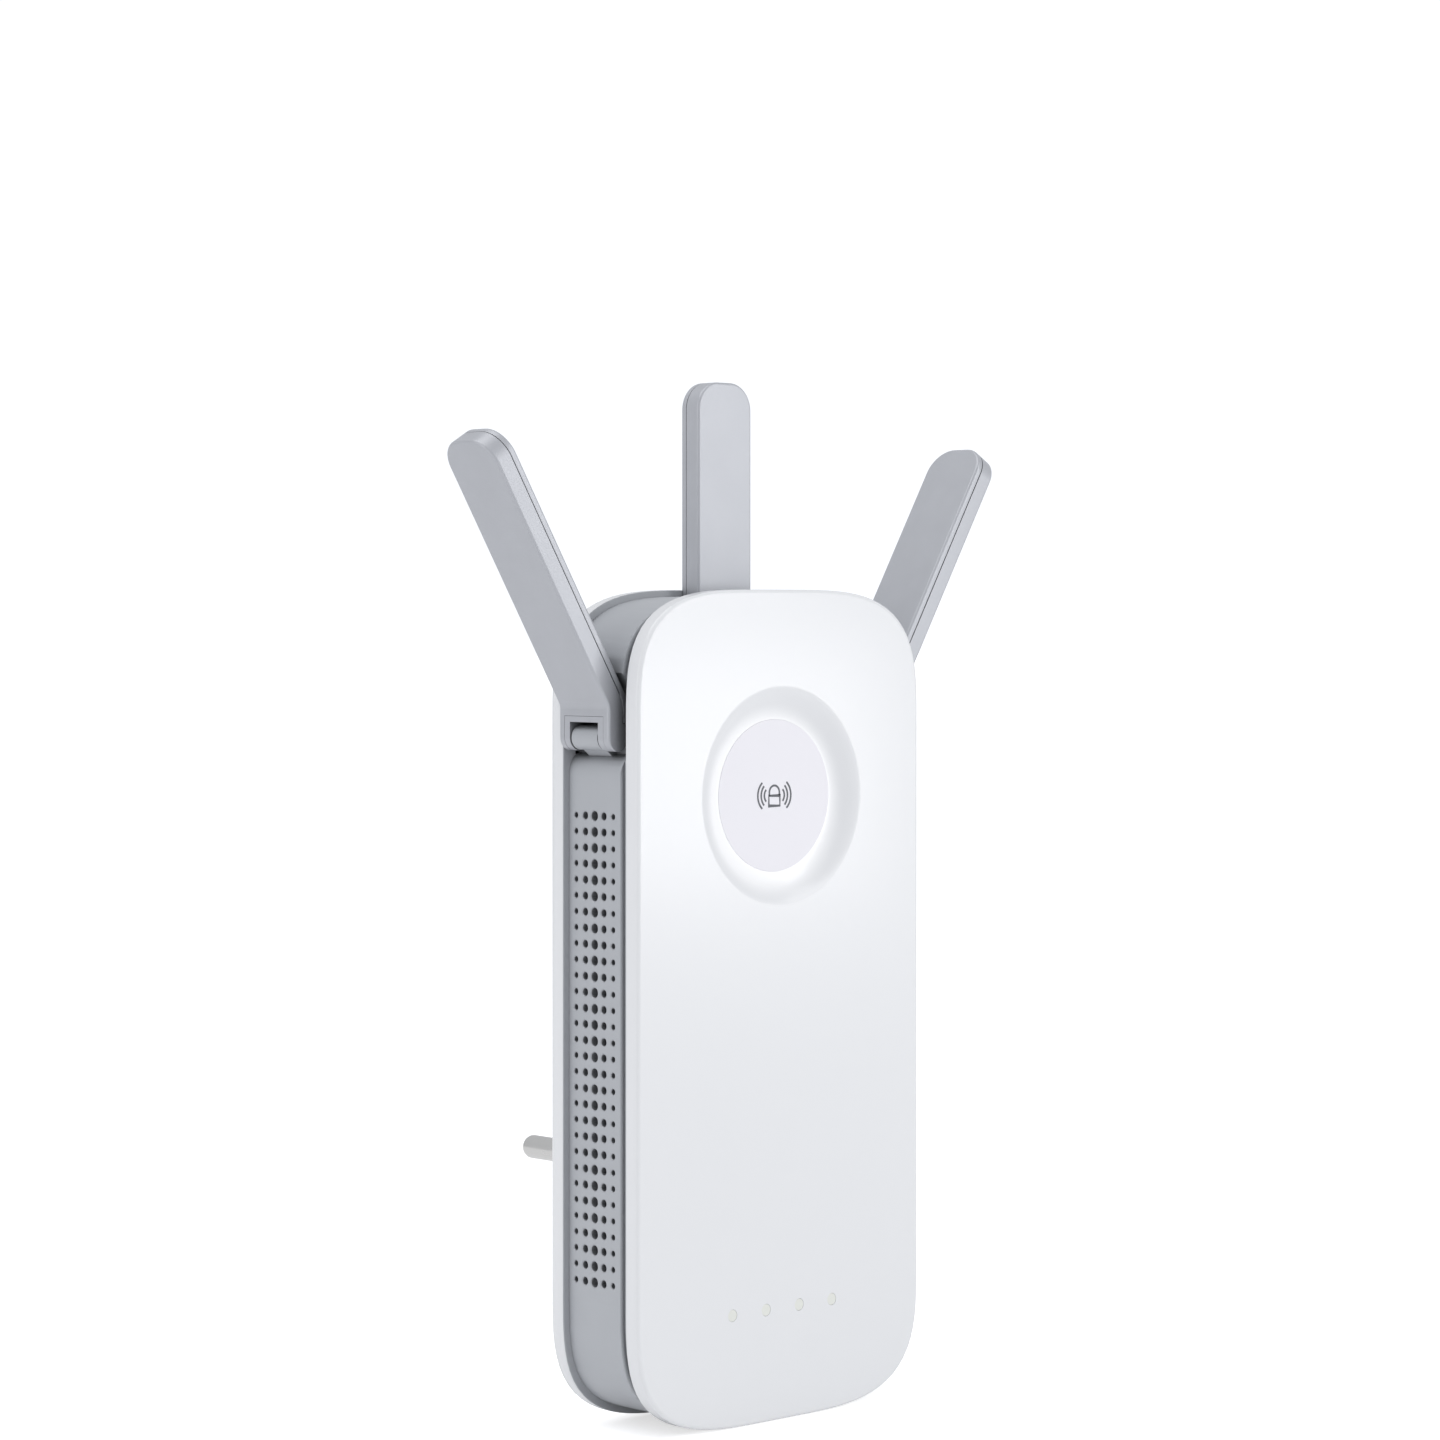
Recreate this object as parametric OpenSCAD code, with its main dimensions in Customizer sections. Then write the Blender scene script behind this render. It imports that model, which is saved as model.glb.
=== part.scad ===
// Wall-plug wireless range extender with three folding antennas.
// X runs to the right, Y runs back towards the wall and Z runs up. The origin is the middle
// of the plug block's end face, between the two pins.

/* [Body] */
// Width of the white covers
body_w = 76.4; // [66:0.2:90]
// Height of the body
body_h = 163; // [150:1:190]
// Height of the body's top above the plug's centre
top_z = 115; // [112:0.5:122]
// Depth of the front cover's side wall
front_side = 3.5; // [3:0.1:5]
// Depth of the grey frame between the two covers
frame_d = 18; // [17.6:0.1:20]
// Straight side depth of the rear cover
rear_side = 2; // [1.6:0.1:4]
// Height of the crowned back
crown_h = 6; // [5.6:0.1:9]
// Width of each corner curve
corner_w = 34; // [20:0.5:34]
// Height of each corner curve
corner_h = 26; // [18:0.5:34]
// Squareness of the corner curve, 2 for an ellipse
corner_power = 3.3; // [2.4:0.1:4]
// Cover plate thickness
cover_t = 2; // [1.6:0.1:2.4]
// Inset of the frame's surface below the covers' side plane
frame_inset = 1.3; // [0.8:0.1:2]
// Frame wall thickness
frame_t = 2; // [1.6:0.1:2.4]
// Depth of the shadow groove behind the front cover
groove_d = 0.8; // [0.4:0.1:1.2]

/* [Light ring and main button] */
// Distance of the ring's centre below the top
ring_drop = 40.5; // [36:0.5:48]
// Outer radius of the dished ring
ring_r = 21.5; // [19:0.1:24]
// Radius of the round button
button_r = 15; // [11:0.1:16.5]
// Depth of the button's face below the front
dish_depth = 2.5; // [1.6:0.1:2.8]
// Travel of the round button
button_travel = 0.5; // [0.3:0.05:0.7]
// Running gap round each button
button_gap = 0.25; // [0.15:0.05:0.4]

/* [Vents] */
// Pitch of the vent rows
vent_pitch_z = 3.1; // [2.8:0.05:3.6]
// Pitch of the vent columns
vent_pitch_y = 2.7; // [2.4:0.05:3]
// Distance of the first vent row below the top
vent_drop = 43.7; // [41:0.5:50]
// Number of vent rows on the left side
vent_rows_left = 30; // [8:1:34]
// Number of vent rows on the right side
vent_rows_right = 16; // [8:1:17]
// Radius of the outer columns' holes
vent_r_small = 0.55; // [0.4:0.05:0.7]
// Radius of the second and fourth columns' holes
vent_r_mid = 0.75; // [0.5:0.05:0.9]
// Radius of the middle column's holes
vent_r_big = 0.95; // [0.6:0.05:1.1]

/* [Antennas] */
// Antenna width
ant_w = 14.5; // [12:0.1:15]
// Antenna thickness
ant_t = 5.1; // [4.6:0.1:5.4]
// Length of the straight blade beyond its bend
blade_len = 59; // [45:0.5:62]
// Length from the hinge pin to the bend
leg_len = 6.8; // [6.4:0.1:8]
// Bend between leg and blade, in degrees
elbow = 31; // [24:1:35]
// Radius of the blade's tip corners
tip_r = 5.5; // [3:0.1:6.5]
// Thickness of the antenna's lid
lid_t = 1.45; // [1.2:0.05:1.6]
// Wall of the antenna's shell
ant_wall = 1.3; // [1:0.05:1.5]
// Distance of the side hinge pins below the top
side_pin_drop = 28.6; // [27:0.1:34]
// How far the side antennas' bases stand out of the covers' side plane
base_proud = 1.5; // [1:0.1:2]
// Distance of the side antennas' middle behind the front
side_ant_d = 13.9; // [13.5:0.1:14.2]
// Distance of the middle hinge pin below the top
mid_pin_drop = 23.4; // [22:0.1:28]
// Distance of the middle hinge pin behind the front
mid_pin_d = 22.65; // [22.4:0.05:23]
// Hinge pin radius
pin_r = 1; // [0.8:0.05:1.2]
// Running clearance of a hinge pin in its knuckle
pin_run = 0.05; // [0.02:0.01:0.08]
// Knuckle radius
knuckle_r = 2.8; // [2.4:0.05:2.9]
// Width of the knuckle
knuckle_w = 7.5; // [6.5:0.1:8]
// Gap between an antenna and its pocket
pocket_gap = 0.4; // [0.3:0.05:0.6]

/* [Plug] */
// Height of the plug block
boss_h = 18; // [16:0.5:22]
// Radius of the plug block
boss_r = 18; // [17:0.1:18.6]
// Radius of each contact pin
contact_r = 2.4; // [2:0.05:2.4]
// Straight length of each contact pin
contact_len = 17; // [15:0.5:18]
// Spacing of the two contact pins
contact_pitch = 19; // [18:0.5:20]

/* [Socket and side buttons] */
// Height of the network socket's centre
jack_z = -21; // [-21.5:0.1:-20.5]
// Width of the network socket's opening
jack_w = 11.9; // [11.8:0.1:12.4]
// Height of the network socket's opening
jack_h = 8.2; // [8:0.1:8.6]
// Depth of the network socket
jack_depth = 14; // [12:0.5:15]
// Height of the light button's centre
led_button_z = 15; // [14:0.1:15.5]
// Height of the power button's centre
power_button_z = 3; // [2.5:0.1:3.5]
// Height of the reset hole
reset_z = -6.5; // [-7:0.1:-6]
// Length of each side button
side_button_l = 8; // [6:0.1:9]
// Width of each side button
side_button_w = 4; // [3:0.1:5]
// Travel of each side button
side_travel = 0.8; // [0.4:0.1:1]

/* [Boards] */
// Distance of the main board behind the front
board_d = 8; // [7.8:0.1:8.4]
// Board thickness
board_t = 1.6; // [1.2:0.1:1.6]
// Half width of the main board
board_hw = 31; // [28:0.5:31]
// Distance of the power board behind the front
power_d = 23; // [22.8:0.1:23.2]

/* [Hidden] */
$fn = 48;
seat = 0.05;
body_d = front_side + frame_d + rear_side + crown_h;
front_y = -(body_d + boss_h);
rear_edge = front_side + frame_d;
half_w = body_w / 2;
mid_z = top_z - body_h / 2;
bottom_z = top_z - body_h;
ring_z = top_z - ring_drop;
corner_n = 14;
crown_n = 8;
inner_x = half_w - frame_inset - frame_t;
ring_slope = 0.5;
ring_plate = 1.6;
ring_back = dish_depth + ring_plate + 0.1;
flange_r = ring_r + 2.1;
half_t = ant_t / 2;
side_pin_x = half_w + base_proud - half_t;
side_pin_z = top_z - side_pin_drop;
side_floor = half_t + pocket_gap;
pocket_wall = 1.6;
side_block_x = side_pin_x - side_floor - pocket_wall;
mid_pin_z = top_z - mid_pin_drop;
mid_lean = leg_len * sin(elbow);
rest_front = mid_pin_d - mid_lean - half_t - pocket_gap;
fold_front = mid_pin_d + mid_lean - half_t - pocket_gap;
fold_drop = leg_len * cos(elbow) + blade_len + 1.6;
well_hw = ant_w / 2 + 0.35;
well_wall = 1.4;
notch_top = 3.5;
notch_hw = 5.65;
notch_cap = 4.7;
ear_in = knuckle_w / 2 + 0.35;
washer_t = 0.25;
neck_angle = 240;
neck_t = 4.4;
side_reach = (side_floor + 1) / -sin(neck_angle);
mid_reach = (mid_pin_d - rest_front + well_wall / 2) / -sin(neck_angle);
coax_r = 0.6;
tail_r = 1.6;
side_coax_z = side_pin_z - 2.6;
mid_coax_z = mid_pin_z - 5;
jack_d0 = board_d + board_t + 1.3;
jack_x1 = inner_x - 0.35;
jack_x0 = jack_x1 - jack_depth - 4;
switch_x0 = 25;
switch_x1 = 31;
pin_half = notch_hw + 0.9;
vent_d = side_ant_d + 0.2;
side_button_d = board_d + board_t + 3;
case_screw_x = half_w - 11.2;
case_screws_xz = [[-case_screw_x, top_z - 12], [case_screw_x, top_z - 12],
    [-case_screw_x + 2, bottom_z + 7], [case_screw_x - 2, bottom_z + 7]];
board_posts = [[-board_hw + 4, top_z - 16], [board_hw - 4, top_z - 16],
    [-board_hw + 3, ring_z - 30.5], [board_hw - 3, ring_z - 30.5],
    [-board_hw + 9, bottom_z + 10], [board_hw - 9, bottom_z + 10]];
power_posts = [[-24, 17], [15.5, 17], [-24, -31], [15.5, -31]];
status_x = [-13.5, -4.5, 4.5, 13.5];
status_z = -26;

// ---- outlines and small helpers ----

// A quarter of the body's outline, from the side up to the top
function corner(inset, n) = [for (i = [0:n])
    [half_w - corner_w + (corner_w - inset) * pow(cos(90 * i / n), 2 / corner_power),
     body_h / 2 - corner_h + (corner_h - inset) * pow(sin(90 * i / n), 2 / corner_power)]];

function flipped(list) = [for (i = [len(list) - 1:-1:0]) list[i]];

// The whole outline in X and Z, shrunk by inset
function outline(inset, n) = let (c = corner(inset, n)) concat(
    c,
    flipped([for (p = c) [-p[0], p[1]]]),
    [for (p = c) [-p[0], -p[1]]],
    flipped([for (p = c) [p[0], -p[1]]]));

function arc(x, y, r, a0, a1, n) = [for (i = [0:n])
    let (a = a0 + (a1 - a0) * i / n) [x + r * cos(a), y + r * sin(a)]];

function stadium(l, w) = concat(
    arc(0, (l - w) / 2, w / 2, 0, 180, 12),
    arc(0, -(l - w) / 2, w / 2, 180, 360, 12));

// A slab of the outline between two depths behind the front
module slab(inset, d0, d1, n = corner_n)
    translate([0, front_y + d1, mid_z]) rotate([90, 0, 0])
        linear_extrude(d1 - d0) polygon(outline(inset, n));

// A box given by its X, depth and Z ranges
module block(x, d, z)
    translate([x[0], front_y + d[0], z[0]]) cube([x[1] - x[0], d[1] - d[0], z[1] - z[0]]);

// A rod along Y between two depths
module rod(x, z, r, d0, d1, fn = 48)
    translate([x, front_y + d0, z]) rotate([-90, 0, 0]) cylinder(h = d1 - d0, r = r, $fn = fn);

// A ring or disc turned about the light ring's axis, from points of radius and depth
module turned(points)
    translate([0, front_y, ring_z]) rotate([-90, 0, 0])
        rotate_extrude($fn = 96) polygon(points);

// A round lead through a list of points
module lead(points, r)
    for (i = [0:len(points) - 2]) hull() {
        translate(points[i]) sphere(r = r, $fn = 12);
        translate(points[i + 1]) sphere(r = r, $fn = 12);
    }

// A prism along X from points of depth behind the front and height
module across(points, x0, x1)
    translate([x0, front_y, 0]) rotate([90, 0, 90]) linear_extrude(x1 - x0) polygon(points);

// ---- hinge seats on the body ----

// Knuckle with its neck, pin along X at the origin, antenna folding towards +Y. The neck
// leaves on the side that the folding leg never sweeps.
module knuckle(reach) difference() {
    union() {
        translate([-knuckle_w / 2, 0, 0]) rotate([0, 90, 0])
            cylinder(h = knuckle_w, r = knuckle_r);
        rotate([-neck_angle, 0, 0]) translate([-knuckle_w / 2 + 0.4, -neck_t / 2, 0])
            cube([knuckle_w - 0.8, neck_t, reach]);
    }
    translate([-knuckle_w, 0, 0]) rotate([0, 90, 0])
        cylinder(h = 2 * knuckle_w, r = pin_r + pin_run);
}

// Pocket outline beside a side antenna's base: distance out from the pin, height above it
function side_pocket() = let (lip = half_w - frame_inset - side_pin_x) concat(
    [[-side_floor, -half_t - 0.6]],
    [for (i = [1:6]) let (a = 90 * i / 6)
        [-side_floor + (lip + side_floor) * sin(a), -half_t - 5.2 + 4.6 * cos(a)]],
    [[8, -half_t - 5.2], [8, leg_len + 6.4], [lip, leg_len + 6.4],
     [-side_floor, leg_len + 2.8]]);

module at_side(side)
    translate([side * side_pin_x, front_y + side_ant_d, side_pin_z]) rotate([0, 0, -90 * side])
        children();

module at_middle_seat() translate([0, front_y + mid_pin_d, mid_pin_z]) children();

module at_middle() at_middle_seat() rotate([elbow, 0, 0]) children();

// ---- antenna pieces, pin along X at the origin, bend towards +Y ----

function slanted(s, t) = [s * cos(elbow) + t * sin(elbow),
    leg_len - s * sin(elbow) + t * cos(elbow)];

// One offset line along leg and blade, from height z0 to the tip
function ant_path(s, z0) = concat([[s, z0]],
    s < 0 ? arc(0, leg_len, -s, 180, 180 - elbow, 6)
          : [[s, leg_len - s * tan(elbow / 2)]],
    [slanted(s, blade_len + 2)]);

function ant_side() = concat(arc(0, 0, half_t, 0, -180, 16), ant_path(-half_t, 0.01),
    flipped(ant_path(half_t, 0.01)));

function ant_band(s0, s1, z0) = concat(ant_path(s0, z0), flipped(ant_path(s1, z0)));

module ant_prism(points, w)
    translate([-w / 2, 0, 0]) rotate([90, 0, 90]) linear_extrude(w) polygon(points);

// Moves children to the blade's own frame, with Z along the blade from the bend
module on_blade() translate([0, 0, leg_len]) rotate([-elbow, 0, 0]) children();

// The antenna's outline across its width, with round tip corners, as a thick block
module ant_outline() on_blade() translate([0, 4 * leg_len, 0]) rotate([90, 0, 0])
    linear_extrude(8 * leg_len) polygon(concat(
        [[-ant_w / 2, -4 * leg_len], [ant_w / 2, -4 * leg_len]],
        arc(ant_w / 2 - tip_r, blade_len - tip_r, tip_r, 0, 90, 8),
        arc(-ant_w / 2 + tip_r, blade_len - tip_r, tip_r, 90, 180, 8)));

module pin_hole(r)
    translate([-pin_half - seat, 0, 0]) rotate([0, 90, 0])
        cylinder(h = 2 * (pin_half + seat), r = r);

module hinge_notch(grow)
    translate([-notch_hw - grow, -ant_t, -ant_t]) cube([2 * (notch_hw + grow), 2 * ant_t,
        ant_t + notch_cap + grow]);

function lid_band(lid, z0, inner, outer) = lid < 0
    ? ant_band(-half_t - outer, -half_t + lid_t + inner, z0)
    : ant_band(half_t - lid_t - inner, half_t + outer, z0);

module ant_lid(lid) color([0.78, 0.79, 0.82]) difference() {
    intersection() {
        ant_prism(lid_band(lid, 2.9, 0, 0), ant_w + 2);
        ant_outline();
    }
    hinge_notch(seat);
}

module ant_shell(lid) color([0.70, 0.71, 0.74]) difference() {
    intersection() {
        ant_prism(ant_side(), ant_w + 2);
        ant_outline();
    }
    ant_prism(lid_band(lid, 2.9 - seat, seat, 1), 2 * ant_w);
    hinge_notch(seat);
    pin_hole(pin_r + 0.02);
    on_blade() translate([0, -lid * (lid_t - ant_wall + seat) / 2 - lid * seat, blade_len / 2])
        cube([ant_w - 2 * ant_wall, ant_t - lid_t - ant_wall + 2 * seat, blade_len - 6],
            center = true);
}

module ant_bracket() color([0.62, 0.63, 0.66]) difference() {
    intersection() {
        ant_prism(ant_side(), ant_w);
        translate([-notch_hw, -ant_t, -ant_t]) cube([2 * notch_hw, 2 * ant_t, ant_t + notch_cap]);
    }
    translate([-ear_in, -ant_t, -ant_t]) cube([2 * ear_in, 2 * ant_t, ant_t + notch_top]);
    pin_hole(pin_r + 0.02);
}

module ant_radiator(lid) color([0.12, 0.35, 0.2]) on_blade()
    translate([-5, lid < 0 ? -half_t + lid_t + seat : half_t - lid_t - seat - 0.8, 4])
        cube([10, 0.8, blade_len - 12]);

module ant_pin() color([0.8, 0.8, 0.8])
    translate([-pin_half, 0, 0]) rotate([0, 90, 0]) cylinder(h = 2 * pin_half, r = pin_r);

module ant_washers() color([0.75, 0.75, 0.75])
    for (side = [-1, 1]) translate([side * (ear_in - seat - washer_t / 2), 0, 0])
        rotate([0, 90, 0]) difference() {
            cylinder(h = washer_t, r = 2.1, center = true);
            cylinder(h = 2 * washer_t, r = pin_r + 0.03, center = true);
        }

// ---- covers and frame ----

module front_cover() color([0.97, 0.97, 0.98]) {
    difference() {
        union() {
            hull() {
                slab(0.7, 0, 0.02);
                slab(0, 0.7, front_side - 0.4);
            }
            slab(0, front_side - 0.5, front_side);
        }
        slab(cover_t, cover_t, front_side + 1);
        rod(0, ring_z, ring_r + 0.1, -1, cover_t + 1, 96);
        for (x = status_x) rod(x, status_z, 1.2, -1, cover_t + 1);
    }
    for (p = board_posts) difference() {
        rod(p[0], p[1], 2.4, cover_t - 0.2, board_d - seat);
        rod(p[0], p[1], 1, cover_t + 1, board_d + 1);
    }
    for (side = [-1, 1], z = [20, -10]) block(
        side > 0 ? [inner_x - 1.3, inner_x - seat] : [-inner_x + seat, -inner_x + 1.3],
        [cover_t - 0.2, front_side + 3], [z - 5, z + 5]);
}

module light_ring() color([0.95, 0.97, 1.0]) turned(concat(
    [for (i = [0:8]) let (t = i / 8, r = ring_r - t * (ring_r - button_r - button_gap))
        [r, ring_slope + (dish_depth - ring_slope) * sin(90 * t)]],
    [[button_r + button_gap, ring_back - 0.1], [flange_r, ring_back - 0.1],
     [flange_r, cover_t + seat], [ring_r, cover_t + seat]]));

module light_shroud() color([0.9, 0.9, 0.9]) turned(
    [[ring_r, ring_back - 0.05], [ring_r + 1, ring_back - 0.05], [ring_r + 1, board_d - seat],
     [ring_r, board_d - seat]]);

module status_light_pipes() color([0.9, 0.95, 1.0]) for (x = status_x) {
    rod(x, status_z, 1.15, 0.05, board_d - 0.9);
    rod(x, status_z, 1.9, cover_t + seat, cover_t + 1);
}

// One vent hole with its chamfered mouth, from the surface inwards
module vent(side, y, z, r)
    translate([side * (half_w - frame_inset), y, z]) rotate([0, -90 * side, 0]) {
        translate([0, 0, -1]) cylinder(h = frame_t + 2, r = r, $fn = 24);
        translate([0, 0, -0.4]) cylinder(h = 0.6, r1 = r + 0.6, r2 = r, $fn = 24);
    }

module vents(side, rows)
    for (row = [0:rows - 1], col = [-2:2])
        vent(side, front_y + vent_d + col * vent_pitch_y,
            top_z - vent_drop - row * vent_pitch_z,
            col == 0 ? vent_r_big : abs(col) == 1 ? vent_r_mid : vent_r_small);

module side_button_hole(z)
    translate([inner_x - 1, front_y + side_button_d, z]) rotate([90, 0, 90])
        linear_extrude(frame_t + 3)
            polygon(stadium(side_button_l + 2 * button_gap, side_button_w + 2 * button_gap));

module mid_frame() color([0.68, 0.70, 0.73]) {
    difference() {
        union() {
            difference() {
                union() {
                    slab(frame_inset, front_side + groove_d, rear_edge);
                    slab(frame_inset + 0.9, front_side + seat, front_side + groove_d + 0.1);
                }
                slab(frame_inset + frame_t, front_side - 1, rear_edge + 1);
            }
            intersection() {
                slab(frame_inset, front_side + groove_d, rear_edge);
                for (side = [-1, 1]) block(
                    side > 0 ? [side_block_x, half_w] : [-half_w, -side_block_x],
                    [front_side + groove_d, rear_edge],
                    [side_pin_z - half_t - 7, side_pin_z + leg_len + 8]);
            }
            intersection() {
                slab(frame_inset, front_side + groove_d, rear_edge);
                for (p = case_screws_xz) {
                    rod(p[0], p[1], 2.8, 13, rear_edge - 0.1);
                    block([p[0] - 0.8, p[0] + 0.8], [13, rear_edge - 0.1],
                        p[1] > mid_z ? [p[1], top_z] : [bottom_z, p[1]]);
                }
            }
        }
        for (side = [-1, 1]) at_side(side)
            ant_prism(side_pocket(), 2 * (rear_edge - side_ant_d + 1));
        for (p = case_screws_xz) rod(p[0], p[1], 1.3, 12, rear_edge + 1);
        block([-well_hw - well_wall - 0.15, well_hw + well_wall + 0.15],
            [rest_front - well_wall - 0.15, rear_edge + 1], [mid_pin_z, top_z + 1]);
        vents(-1, vent_rows_left);
        vents(1, vent_rows_right);
        side_button_hole(led_button_z);
        side_button_hole(power_button_z);
        translate([inner_x - 1, front_y + side_button_d, reset_z]) rotate([0, 90, 0])
            cylinder(h = frame_t + 3, r = 0.9);
        block([inner_x - 1, half_w], [jack_d0 - 0.2, jack_d0 + jack_h + 0.2],
            [jack_z - jack_w / 2 - 0.2, jack_z + jack_w / 2 + 0.2]);
        for (side = [-1, 1]) coax_hole(side);
    }
    for (side = [-1, 1]) at_side(side) knuckle(side_reach);
}

// Blind hole in a hinge block, where a coax lead goes in
module coax_hole(side)
    translate([side * (side_block_x - 1), front_y + side_ant_d, side_coax_z])
        rotate([0, 90 * side, 0]) cylinder(h = 2.2, r = coax_r + 0.1, $fn = 24);

// Side view of the middle antenna's well and folding recess, grown by g
function well_side(g) = [[rest_front - g, top_z + 2],
    [rest_front - g, mid_pin_z - half_t - 1.6 - g],
    [mid_pin_d - half_t - 0.3 - g / 2, mid_pin_z - half_t - 1.6 - g],
    [fold_front - g, mid_pin_z - half_t - 5.6 - g],
    [fold_front - g, mid_pin_z - fold_drop - g],
    [body_d + 2, mid_pin_z - fold_drop - g], [body_d + 2, top_z + 2]];

module crown(shrink) hull() {
    slab(shrink, rear_edge - shrink, rear_edge + rear_side, crown_n);
    slab(shrink + 2.2, 0, rear_edge + rear_side + crown_h * 0.55 - shrink / 2, crown_n);
    slab(shrink + 10, 0, body_d - shrink, crown_n);
}

module rear_cover() color([0.95, 0.95, 0.96]) {
    difference() {
        union() {
            difference() {
                intersection() {
                    crown(0);
                    slab(-1, rear_edge, body_d + 1);
                }
                crown(cover_t);
            }
            intersection() {
                union() {
                    across(well_side(well_wall), -well_hw - well_wall, well_hw + well_wall);
                    for (p = case_screws_xz) rod(p[0], p[1], 4, rear_edge + seat, body_d);
                }
                crown_space();
            }
            for (p = power_posts)
                rod(p[0], p[1], 2.2, power_d + board_t + seat, body_d - cover_t + 0.3);
        }
        across(well_side(0), -well_hw, well_hw);
        rod(0, 0, boss_r + 0.15, rear_edge, body_d + 1, 96);
        for (p = case_screws_xz) {
            rod(p[0], p[1], 2.9, rear_edge + 2.1, body_d + 1);
            rod(p[0], p[1], 1.5, rear_edge - 1, body_d);
        }
        for (p = power_posts) rod(p[0], p[1], 0.95, power_d, body_d - cover_t);
        rod(0, mid_coax_z, coax_r + 0.1, rest_front - well_wall - 1, rest_front - 0.4, 24);
    }
    at_middle_seat() knuckle(mid_reach);
}

// Space inside the body's skin that the rear cover's inner walls may fill
module crown_space() union() {
    intersection() {
        crown(0);
        slab(-1, rear_edge, body_d + 1);
    }
    slab(frame_inset + 0.3, 2 * cover_t, rear_edge + 0.1);
}

// ---- plug ----

module plug_block() color([0.93, 0.93, 0.94]) difference() {
    union() {
        rod(0, 0, boss_r, power_d + 2.2, body_d + boss_h, 96);
        rod(0, 0, boss_r + 2.5, power_d + 2.2, body_d - cover_t - 0.1, 96);
    }
    for (side = [-1, 1]) {
        block([-2.9, 2.9], [body_d + 1, body_d + boss_h + 1],
            side > 0 ? [boss_r - 2.2, boss_r + 1] : [-boss_r - 1, -boss_r + 2.2]);
        rod(side * contact_pitch / 2, 0, contact_r + 0.1, body_d + boss_h - 0.6,
            body_d + boss_h + 1);
        rod(side * contact_pitch / 2, 0, tail_r + 0.02, power_d, body_d + boss_h);
    }
}

// Contact pins: a turned tail inside the block and a round nose outside
module plug_pins() color([0.80, 0.81, 0.82])
    for (side = [-1, 1]) translate([side * contact_pitch / 2, 0, 0]) rotate([-90, 0, 0])
        rotate_extrude() polygon(concat(
            [[0, front_y + power_d - 0.8], [tail_r, front_y + power_d - 0.8], [tail_r, 0],
             [contact_r, 0], [contact_r, contact_len]],
            [for (i = [1:6]) [contact_r * cos(15 * i), contact_len + 2 * sin(15 * i)]]));

module pin_contacts() color([0.78, 0.72, 0.45]) for (side = [-1, 1]) difference() {
    rod(side * contact_pitch / 2, 0, 3, power_d - 0.7, power_d - seat);
    rod(side * contact_pitch / 2, 0, tail_r + 0.03, power_d - 1, power_d + 1);
}

// ---- main board and what it carries ----

module main_board() color([0.10, 0.36, 0.22]) difference() {
    translate([0, front_y + board_d + board_t, 0]) rotate([90, 0, 0]) linear_extrude(board_t)
        polygon([[board_hw, bottom_z + 14], [board_hw, top_z - 13], [board_hw - 6, top_z - 7],
            [-board_hw + 6, top_z - 7], [-board_hw, top_z - 13], [-board_hw, bottom_z + 14],
            [-board_hw + 11, bottom_z + 5], [board_hw - 11, bottom_z + 5]]);
    for (p = board_posts) rod(p[0], p[1], 1.2, board_d - 1, board_d + board_t + 1);
}

module board_chips() color([0.15, 0.15, 0.16]) {
    back = board_d + board_t + seat;
    block([-8, 8], [back, back + 1.2], [ring_z - 26, ring_z - 10]);
    block([13, 25], [back, back + 1], [ring_z - 24, ring_z - 12]);
    block([-25, -15], [back, back + 1], [ring_z - 23, ring_z - 13]);
    block([-24, -18], [back, back + 1], [26, 32]);
    block([10, 16], [back, back + 1], [30, 36]);
}

module heat_sink() color([0.74, 0.75, 0.77]) {
    base = board_d + board_t + 1.3;
    block([-12, 12], [base, base + 1.5], [ring_z - 30, ring_z - 6]);
    for (x = [-11:3.5:10]) block([x, x + 1], [base + 1.4, base + 5], [ring_z - 30, ring_z - 6]);
}

module rf_shields() color([0.77, 0.78, 0.79]) for (side = [-1, 1]) difference() {
    x = side > 0 ? [9, 28] : [-28, -9];
    block(x, [board_d + board_t + seat, board_d + board_t + 2.6], [ring_z + 1, ring_z + 8]);
    block([x[0] + 0.3, x[1] - 0.3], [board_d, board_d + board_t + 2.3],
        [ring_z + 1.3, ring_z + 7.7]);
}

module ring_leds() color([0.95, 0.95, 0.8]) for (a = [22.5:45:359])
    translate([(button_r + 3.5) * cos(a), 0, ring_z + (button_r + 3.5) * sin(a)])
        block([-0.8, 0.8], [board_d - 0.85, board_d - seat], [-0.8, 0.8]);

module status_leds() color([0.95, 0.95, 0.8]) for (x = status_x)
    block([x - 0.8, x + 0.8], [board_d - 0.85, board_d - seat], [status_z - 0.5, status_z + 0.5]);

module wps_switch() color([0.16, 0.16, 0.17]) difference() {
    block([-3.1, 3.1], [board_d - 2, board_d - seat], [ring_z - 3.1, ring_z + 3.1]);
    rod(0, ring_z, 1.75, board_d - 3, board_d - 0.25);
}

module wps_switch_cap() color([0.85, 0.85, 0.85])
    rod(0, ring_z, 1.65, board_d - 3.05, board_d - 0.3 - button_travel);

module side_switches() color([0.16, 0.16, 0.17])
    for (z = [led_button_z, power_button_z, reset_z]) difference() {
        block([switch_x0, switch_x1], [board_d + board_t + seat, side_button_d + 3],
            [z - 3, z + 3]);
        translate([switch_x0 + 1.6, front_y + side_button_d, z]) rotate([0, 90, 0])
            cylinder(h = switch_x1, r = 1.25);
    }

module ethernet_jack() color([0.28, 0.29, 0.31]) difference() {
    block([jack_x0, jack_x1], [board_d + board_t + seat, jack_d0 + jack_h + 1.2],
        [jack_z - jack_w / 2 - 2, jack_z + jack_w / 2 + 2]);
    block([jack_x1 - jack_depth, jack_x1 + 1], [jack_d0, jack_d0 + jack_h],
        [jack_z - jack_w / 2, jack_z + jack_w / 2]);
}

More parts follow.
